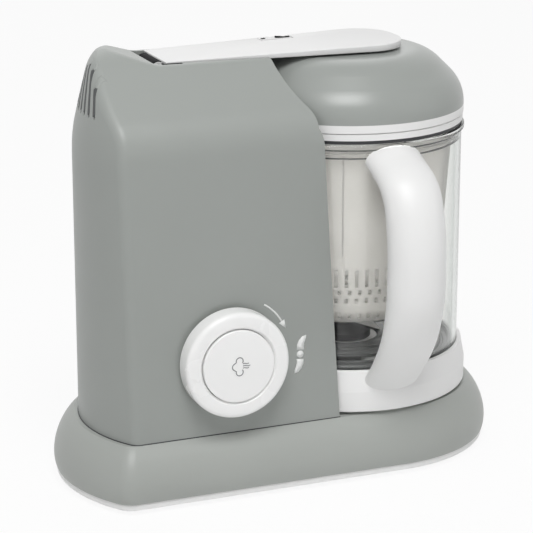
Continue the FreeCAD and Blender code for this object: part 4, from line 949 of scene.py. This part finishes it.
# %% [markdown]
# ## Upright seams
# Five upright seams run down the basket's wall, and the two halves of the bowl's mould leave a line on each
# side. A bump in the material would vanish in clear plastic, so each seam is a narrow strip that follows the
# wall, and all of them are one piece. The strips are the seams' real shape, and their dark grey is painted
# shade for the dark line that refraction draws along a seam in clear plastic.

# %% Seams
SEAMS = 5
SEAM_FIRST = 244.7
SEAM_HALF = 0.4
SEAM_STAND = 0.5
SEAM_FOOT = 42.0
SEAM_DROP = 2.0
SEAM_SOFT = 0.15
MOULD_FOOT = 6.0
MOULD_DROP = 1.5
MOULD_IN = 0.3
MOULD_STAND = 0.2


def mould_reach(height):
    """How far the bowl's mould lines are from the axis: just inside its upright wall."""
    return room_reach - MOULD_IN


def upright_strip(form, angle, low, high, reach_at, stand):
    """A narrow strip that follows a round wall from one level to another."""
    ends = []
    for height in (low, high):
        reach = reach_at(height)
        spread = SEAM_HALF / reach
        corners = ((reach - stand, -spread), (reach + stand, -spread),
                   (reach + stand, spread), (reach - stand, spread))
        ends.append(corners_round(form, corners, height, angle))
    close_bar(form, *ends)


seam_form = bmesh.new()
for number in range(SEAMS):
    upright_strip(seam_form, math.radians(SEAM_FIRST + 360 / SEAMS * number), basket_foot + SEAM_FOOT,
                  basket_brim - SEAM_DROP, wall_reach, SEAM_STAND)
for angle in (0, math.pi):
    upright_strip(seam_form, angle, floor_level + MOULD_FOOT, ledge - MOULD_DROP, mould_reach, MOULD_STAND)
# The seams' dark grey paints the line that refraction draws.
seams = finished_object("basket_seams", seam_form, "grey_seal")
take_off_edges(seams, SEAM_SOFT)
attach(seams, "jug")
print("seams", SEAMS, "each", round(basket_brim - SEAM_DROP - basket_foot - SEAM_FOOT, 1), "mm long")

# %% [markdown]
# ## The knob
# The knob is a broad white ring with a soft shoulder, and the steam button sits in its well. A narrow sloped
# edge round the well gives the second fine circle that the picture shows beside the gap. A cylinder with a
# bevel would have one rounding on all of its edges. A section that is turned about the knob's level axis has
# a rounding of its own at each corner. Its depths are counted back from the knob's front.

# %% Knob
KNOB_SKIRT = 12.5
WELL_GAP = 0.35
WELL_EDGE = 1.7
WELL_DEPTH = 6.0
STEM_REACH = 13.0
STEM_BORE = 10.0
BUTTON_DISC = 4.5
knob_low, knob_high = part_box("knob_ring")
button_low, button_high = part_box("steam_button")
knob_axis = middle("knob_ring")
knob_axis.y = knob_low.y
knob_reach = (knob_high.x - knob_low.x) / 2 / MM
knob_depth = (knob_high.y - knob_low.y) / MM
button_reach = (button_high.x - button_low.x) / 2 / MM
knob_piece = stands_for(turned("knob_shoulder_ring", [
    (button_reach + WELL_EDGE, 0, 0.5),
    (knob_reach, 0, 3.4),
    (knob_reach, KNOB_SKIRT, 0.7),
    (STEM_REACH, KNOB_SKIRT, 0),
    (STEM_REACH, knob_depth, 0.4),
    (STEM_BORE, knob_depth, 0.4),
    (STEM_BORE, WELL_DEPTH + BUTTON_DISC, 0),
    (button_reach + WELL_GAP, WELL_DEPTH + BUTTON_DISC, 0),
    (button_reach + WELL_GAP, WELL_EDGE, 0.3),
], level(knob_axis), "white_plastic"), "knob", "knob_ring")
knob_piece.data.materials[0] = finishes["knob_white"]
print("knob across", round(2 * knob_reach, 1), "mm")

# %% [markdown]
# ## The button
# The steam button is a disc with a soft rim on a short rod, and it travels back into the knob's well. It is
# turned about the same axis, so its gap to the well stays even. The section stops a hair short of the axis,
# which keeps the innermost faces from folding to nothing.

# %% Button
BUTTON_ROD = 6.0
NEAR_AXIS = 0.01
button_front = (button_low.y - knob_low.y) / MM
button_back = (button_high.y - knob_low.y) / MM
button_piece = stands_for(turned("steam_press_button", [
    (NEAR_AXIS, button_front, 0),
    (button_reach, button_front, 0.6),
    (button_reach, button_front + BUTTON_DISC, 0.3),
    (BUTTON_ROD, button_front + BUTTON_DISC, 0),
    (BUTTON_ROD, button_back, 0.5),
    (NEAR_AXIS, button_back, 0),
], level(knob_axis), "button_grey"), "button", "steam_button")
print("button front", round(-button_front, 2), "mm before the knob's")

# %% [markdown]
# ## Printed marks
# Small pictograms tell the user what the controls do: a curved arrow and a propeller beside the knob, for
# blending, and a puff of steam on the button. They are pad-printed, so they are thin flat shapes laid on the
# face. A picture on the surface would need unwrapping. Here each corner is dropped onto the solid along the
# view from the front, so that the marks follow the leaning front of the tower.

# %% Flat shapes


def ribbon(points, width):
    """A line of some width, as four-cornered pieces."""
    sides = []
    for number, point in enumerate(points):
        before = points[max(number - 1, 0)]
        after = points[min(number + 1, len(points) - 1)]
        across = Vector((before.y - after.y, after.x - before.x)).normalized() * width / 2
        sides.append((point + across, point - across))
    return [[sides[step][0], sides[step + 1][0], sides[step + 1][1], sides[step][1]]
            for step in range(len(sides) - 1)]


def arc(centre, reach, start, end, steps=14):
    """Points along an arc, from one angle to another in degrees."""
    points = []
    for step in range(steps + 1):
        angle = math.radians(start + (end - start) * step / steps)
        points.append(Vector(centre) + Vector((math.cos(angle), math.sin(angle))) * reach)
    return points


print("a quarter arc as a ribbon has", len(ribbon(arc((0, 0), 1.0, 0, 90), 0.1)), "pieces")

# %% Printing
INK_LIFT = 0.12
INK_DEPTH = 0.2
BACKWARD, RIGHTWARD, DOWNWARD = Vector((0, 1, 0)), Vector((1, 0, 0)), Vector((0, 0, -1))
finishes["ink_white"] = finish("ink_white", (0.84, 0.85, 0.84), (0.45, 0.55), depth=0.01)
finishes["ink_grey"] = finish("ink_grey", (0.24, 0.245, 0.25), (0.45, 0.55), depth=0.01)


def surface_of(item):
    """A search tree over an object's faces."""
    return BVHTree.FromObject(item, bpy.context.evaluated_depsgraph_get())


def before_knob(point):
    """A place in front of the machine, in millimetres from the knob's middle."""
    return Vector((knob_axis.x + point[0] * MM, cad_box[0].y, knob_axis.z + point[1] * MM))


def printed(name, shapes, start, towards, surface, finish_slot, material, body):
    """Flat shapes dropped one way onto a surface."""
    form = bmesh.new()
    for shape in shapes:
        corners = []
        for point in shape:
            touch = surface.ray_cast(start(point), towards)[0]
            corners.append(form.verts.new(touch - towards * INK_LIFT * MM))
        form.faces.new(corners)
    item = finished_object(name, form, finish_slot)
    item.data.materials[0] = finishes[material]
    depth = item.modifiers.new("ink", "SOLIDIFY")
    depth.thickness = INK_DEPTH * MM
    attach(item, body)


tower_surface = surface_of(nodes["tower_shell"])
print("ink", INK_DEPTH, "mm deep")

# %% Arrow and propeller
ARROW_START, ARROW_BEND, ARROW_END = Vector((21.2, 29.7)), Vector((27.8, 25.6)), Vector((31.8, 18.6))
ARROW_WIDTH = 1.0
ARROW_STEPS = 12
HEAD_LONG = 5.0
HEAD_HALF = 2.0
arrow_line = []
for step in range(ARROW_STEPS + 1):
    share = step / ARROW_STEPS
    arrow_line.append(ARROW_START.lerp(ARROW_BEND, share).lerp(ARROW_BEND.lerp(ARROW_END, share), share))
along = (ARROW_END - ARROW_BEND).normalized()
aside = Vector((-along.y, along.x))
head = [ARROW_END + aside * HEAD_HALF, ARROW_END + along * HEAD_LONG, ARROW_END - aside * HEAD_HALF]

PROPELLER_MIDDLE = Vector((43.2, -2.6))
BOSS_REACH = 2.1
WING = [(-2.0, 3.0), (-1.9, 5.8), (-0.8, 8.4), (1.4, 10.6), (3.8, 11.2), (3.7, 9.4), (2.6, 6.6), (2.2, 4.4),
        (2.5, 2.6)]
wings = [[PROPELLER_MIDDLE + Vector(corner) * side for corner in WING] for side in (1, -1)]
boss = arc(PROPELLER_MIDDLE, BOSS_REACH, 0, 345, steps=23)
printed("blend_marks", ribbon(arrow_line, ARROW_WIDTH) + [head, boss] + wings, before_knob, BACKWARD,
        tower_surface, "white_plastic", "ink_white", "machine")
print("arrow corners", len(arrow_line), "propeller wings", len(wings))

# %% Puff of steam
PUFF_LINE = 0.55
WISP_LINE = 0.44
WISP_START = 2.2
WISP_STEPS = 6
WISP_SWAY = 0.18
WISP_PACE = 1.1
puff = arc((0.2, 3.3), 2.1, -38, 196) + arc((-2.2, 0.0), 2.0, 118, 242) + arc((0.2, -3.3), 2.1, 164, 398)
wisps = []
for rise, end in ((1.5, 5.8), (0.2, 6.6), (-1.1, 5.8)):
    wisp = [Vector((WISP_START + (end - WISP_START) * step / WISP_STEPS,
                    rise + WISP_SWAY * math.sin(step * WISP_PACE))) for step in range(WISP_STEPS + 1)]
    wisps += ribbon(wisp, WISP_LINE)
printed("steam_mark", ribbon(puff, PUFF_LINE) + wisps, before_knob, BACKWARD, surface_of(button_piece),
        "button_grey", "ink_grey", "button")
print("puff corners", len(puff))

# %% [markdown]
# ## The shade in the hinge gap
# The arm turns on a pin, and the gap round it at the arm's left end lies in shade. A dark sleeve round the pin
# paints that shade. The sleeve is turned about the pin, as the knob was about its axis, and it rides on the
# arm. Its finish is matt, because a glossy one would mirror the white surroundings and look grey.

# %% Hinge gap shade
KNUCKLE_REACH = 4.2
KNUCKLE_HALF = 13.0
SLEEVE_GAP = 0.05
SLEEVE_WALL = 0.5
gap_shade_sleeve = turned("hinge_gap_shade", [
    (KNUCKLE_REACH + SLEEVE_GAP, -KNUCKLE_HALF, 0),
    (KNUCKLE_REACH + SLEEVE_WALL, -KNUCKLE_HALF, 0.2),
    (KNUCKLE_REACH + SLEEVE_WALL, KNUCKLE_HALF, 0.2),
    (KNUCKLE_REACH + SLEEVE_GAP, KNUCKLE_HALF, 0),
], level(middle("hinge_pin")), "black_plastic")
gap_shade_sleeve.data.materials[0] = finishes["matt_black"]
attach(gap_shade_sleeve, "steam_arm")
print("sleeve long", 2 * KNUCKLE_HALF, "mm")

# %% [markdown]
# ## The shade at the latch
# The latch on the arm has a finger slot and a small stop beside it, and the shade in them shows as two dark
# shapes. At this size the eye only sees those, so they are laid on as flat shapes of painted shade, from
# above, as the printed marks were laid on the tower, and slide with the latch.

# %% Latch slot shade
ABOVE = 0.01
FINGER_SLOT = (0.58, 0.88)
STOP_DOT = (0.08, 0.12)
latch_low, latch_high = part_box("latch_slider")
latch_long = (latch_high.x - latch_low.x) / MM


def over_latch(point):
    """A place above the latch, in millimetres from its near left corner."""
    return Vector((latch_low.x + point[0] * MM, latch_low.y + point[1] * MM, latch_high.z + ABOVE))


def capsule(shares, across, half):
    """A flat bar with round ends. shares are the places of its ends along the latch."""
    start, end = (latch_long * share for share in shares)
    return arc((end, across), half, -90, 90) + arc((start, across), half, 90, 270)


# Painted shade in the finger slot and beside the stop.
latch_shade_marks = [capsule(FINGER_SLOT, across=2.4, half=1.7), capsule(STOP_DOT, across=1.6, half=1.1)]
printed("latch_slot_shade", latch_shade_marks, over_latch, DOWNWARD, surface_of(nodes["latch_slider"]), "black_plastic",
        "matt_black", "latch")
print("latch long", round(latch_long, 1), "mm")

# %% [markdown]
# ## The shade under the arm's heel
# The gap between the arm's heel and the tower's roof lies in shade, and shows as a short dark line at the
# arm's lower left edge. A strip of painted shade lies on the tower's roof there, so it is dropped from above.

# %% Heel shade
HEEL_SHADE_LINE = [Vector((-73.0, -6.7)), Vector((-69.0, -6.9)), Vector((-65.0, -7.1)), Vector((-61.0, -7.3))]
HEEL_SHADE_WIDE = 2.0


def over_tower(point):
    """A place above the tower, in millimetres."""
    return Vector((point[0] * MM, point[1] * MM, cad_box[1].z + ABOVE))


printed("heel_gap_shade", ribbon(HEEL_SHADE_LINE, HEEL_SHADE_WIDE), over_tower, DOWNWARD, tower_surface, "rubber",
        "matt_black", "machine")
print("heel gap shade long", round((HEEL_SHADE_LINE[-1] - HEEL_SHADE_LINE[0]).length, 1), "mm")

# %% [markdown]
# ## The shade in the vents
# Steam and warm air leave through leaning slots in the tower's end. They read as dark lines because shade
# fills them. The slots' own faces could be made dark, but they belong to the shell's solid. So a strip of
# painted shade lies in the mouth of each slot. It follows the slot's lean and is dropped onto the bowed end
# from the left. It stops where the slot gets shallow, or where the end turns away towards the front.

# %% Vent slot shade
VENTS = 7
VENT_FIRST = -21.35
VENT_PITCH = 6.6
VENT_LEVEL = 225.0
VENT_LEAN = 0.404
VENT_LOW = 223.0
SLOT_END = -112.2
SLOT_TURN = 1.4
SHADE_WIDE = 2.5
SHADE_STEP = 0.5
BESIDE = 1.1


def slot_depth(number, height):
    """How far back a slot's middle lies at a level, in millimetres."""
    return VENT_FIRST + VENT_PITCH * number + VENT_LEAN * (height - VENT_LEVEL)


def left_of_tower(point):
    """A place to the left of the tower, from a depth and a level in millimetres."""
    return Vector((cad_box[0].x - ABOVE, point[0] * MM, point[1] * MM))


def slot_open(point):
    """Whether a slot is deep there, and the face beside it still looks to the left."""
    edges = [point + Vector((side * SHADE_WIDE / 2, 0)) for side in (-BESIDE, BESIDE)]
    touches = [tower_surface.ray_cast(left_of_tower(edge), RIGHTWARD)[0] for edge in edges]
    outer, inner = sorted(touch.x / MM if touch else 0.0 for touch in touches)
    return inner < SLOT_END and inner - outer < SLOT_TURN


slot_shades = []
slot_tops = []
for number in range(VENTS):
    slot_shade_line = []
    spot = Vector((slot_depth(number, VENT_LOW), VENT_LOW))
    while slot_open(spot):
        slot_shade_line.append(spot.copy())
        spot += Vector((VENT_LEAN, 1.0)) * SHADE_STEP
    slot_shades += ribbon(slot_shade_line, SHADE_WIDE)
    slot_tops.append(slot_shade_line[-1].y)
# Strips of painted shade in the slots' mouths.
printed("vent_slot_shade", slot_shades, left_of_tower, RIGHTWARD, tower_surface, "dark_seal", "vent_shade", "machine")
print("vent screens", VENTS, "tops at", [round(top, 1) for top in slot_tops])

# %% [markdown]
# ## The vents' brows
# Near the roof the slots would run out raggedly where the end bends over. A brow closes each slot there: a
# narrow sheet that leaves the face on one side of the slot and meets it on the other, as a mould would shape
# it. The face is looked for from outside, along rays that all aim at a heart inside the tower, because the
# view from the left alone can't see round the bend. Each rung between the two faces is a curve that starts
# and ends along them, so the light runs on over it.

# %% Brow helpers
BROW_HEART = (-95.0, 225.0)
BROW_RAY = 60.0
BROW_HALF = 1.2
BROW_LIFT = 0.05
BROW_ACROSS = 5


def beside_vent(number, side, degrees):
    """A point of the tower's face beside a slot, and its normal."""
    turn = math.radians(degrees)
    ends = []
    for reach in (BROW_RAY, 0.0):
        height = BROW_HEART[1] + reach * math.sin(turn)
        depth = slot_depth(number, height) + side * BROW_HALF
        ends.append(Vector((BROW_HEART[0] - reach * math.cos(turn), depth, height)) * MM)
    inward = (ends[1] - ends[0]).normalized()
    touch, normal = tower_surface.ray_cast(ends[0], inward)[:2]
    return touch + normal * BROW_LIFT * MM, normal


def arched(first, last):
    """Points across a slot that leave one face and meet the other along it."""
    (start, start_normal), (end, end_normal) = first, last
    span = end - start
    leave = span - start_normal * span.dot(start_normal)
    arrive = span - end_normal * span.dot(end_normal)
    points = []
    for step in range(BROW_ACROSS + 1):
        t = step / BROW_ACROSS
        points.append(start + span * (3 * t ** 2 - 2 * t ** 3) + leave * (t ** 3 - 2 * t ** 2 + t)
                      + arrive * (t ** 3 - t ** 2))
    return points


beside_first = beside_vent(0, 1, 0)[0]
print("the face beside the first slot lies at", [round(value / MM, 1) for value in beside_first])

# %% Vent brows
BROW_LAP = 0.4
BROW_END = -110.6
BROW_TURN = 75
brow_form = bmesh.new()
for number in range(VENTS):
    rungs = []
    for degrees in range(BROW_TURN):
        left, right = (beside_vent(number, side, degrees) for side in (-1, 1))
        lower = min(left[0].z, right[0].z) / MM
        outer = min(left[0].x, right[0].x) / MM
        if lower > slot_tops[number] - BROW_LAP and outer < BROW_END:
            rungs.append([brow_form.verts.new(point) for point in arched(left, right)])
    for rung, after in zip(rungs, rungs[1:]):
        for step in range(BROW_ACROSS):
            brow_form.faces.new((rung[step], rung[step + 1], after[step + 1], after[step]))
brows = finished_object("vent_brows", brow_form, "shell_grey")
brow_depth = brows.modifiers.new("depth", "SOLIDIFY")
brow_depth.thickness = INK_DEPTH * MM
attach(brows, "machine")
print("vent brow faces", len(brows.data.polygons))

# %% [markdown]
# ## The shade round the tower's foot
# Where two mouldings meet, a narrow gap lies in shade. The tower stands flush on the plinth, and the shade
# where they meet shows as a thin line round the tower's foot. A line drawn by hand would miss the bowed end,
# so
# it is read from the solid: the edges of its lowest outer loop are followed, and a fine dark bead of painted
# shade is laid along them.

# %% The lowest loop
SAME_LEVEL = 1e-5
UPRIGHT_LIMIT = 0.5


def widest(loops):
    """The loop that reaches furthest from left to right."""
    return max(loops, key=lambda loop: max(point.x for point in loop) - min(point.x for point in loop))


def foot_loop(name):
    """The points of the widest loop of edges round a node's lowest level."""
    form = bmesh.new()
    form.from_mesh(nodes[name].data)
    bmesh.ops.remove_doubles(form, verts=form.verts, dist=SAME_PLACE)
    lowest = min(vert.co.z for vert in form.verts)
    near = {}
    for edge in form.edges:
        first, second = edge.verts
        if max(first.co.z, second.co.z) - lowest > SAME_LEVEL:
            continue
        slopes = sorted(abs(face.normal.z) for face in edge.link_faces)
        if len(slopes) == 2 and slopes[0] < UPRIGHT_LIMIT < slopes[1]:
            near.setdefault(first, []).append(second)
            near.setdefault(second, []).append(first)
    loops = []
    unseen = set(near)
    while unseen:
        here = min(unseen, key=lambda vert: vert.index)
        loop = []
        while here is not None:
            unseen.discard(here)
            loop.append(here.co.copy())
            here = next((vert for vert in near[here] if vert in unseen), None)
        loops.append(loop)
    form.free()
    return widest(loops)


foot_points = foot_loop("tower_shell")
print("foot line points", len(foot_points))

# %% Shade round the tower's foot
BEAD = 0.5
bead = bpy.data.curves.new("tower_foot_shade", "CURVE")
bead.dimensions = "3D"
bead.bevel_depth = BEAD * MM
bead.bevel_resolution = 2
bead_line = bead.splines.new("POLY")
bead_line.points.add(len(foot_points) - 1)
for spot, point in zip(bead_line.points, foot_points):
    spot.co = (point.x, point.y, point.z, 1.0)
bead_line.use_cyclic_u = True
# The bead's dark finish paints the shade at the foot.
bead.materials.append(finishes["dark_seal"])
foot_shade = bpy.data.objects.new("tower_foot_shade", bead)
bpy.context.collection.objects.link(foot_shade)
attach(foot_shade, "machine")
print("foot line", 2 * BEAD, "mm thick")
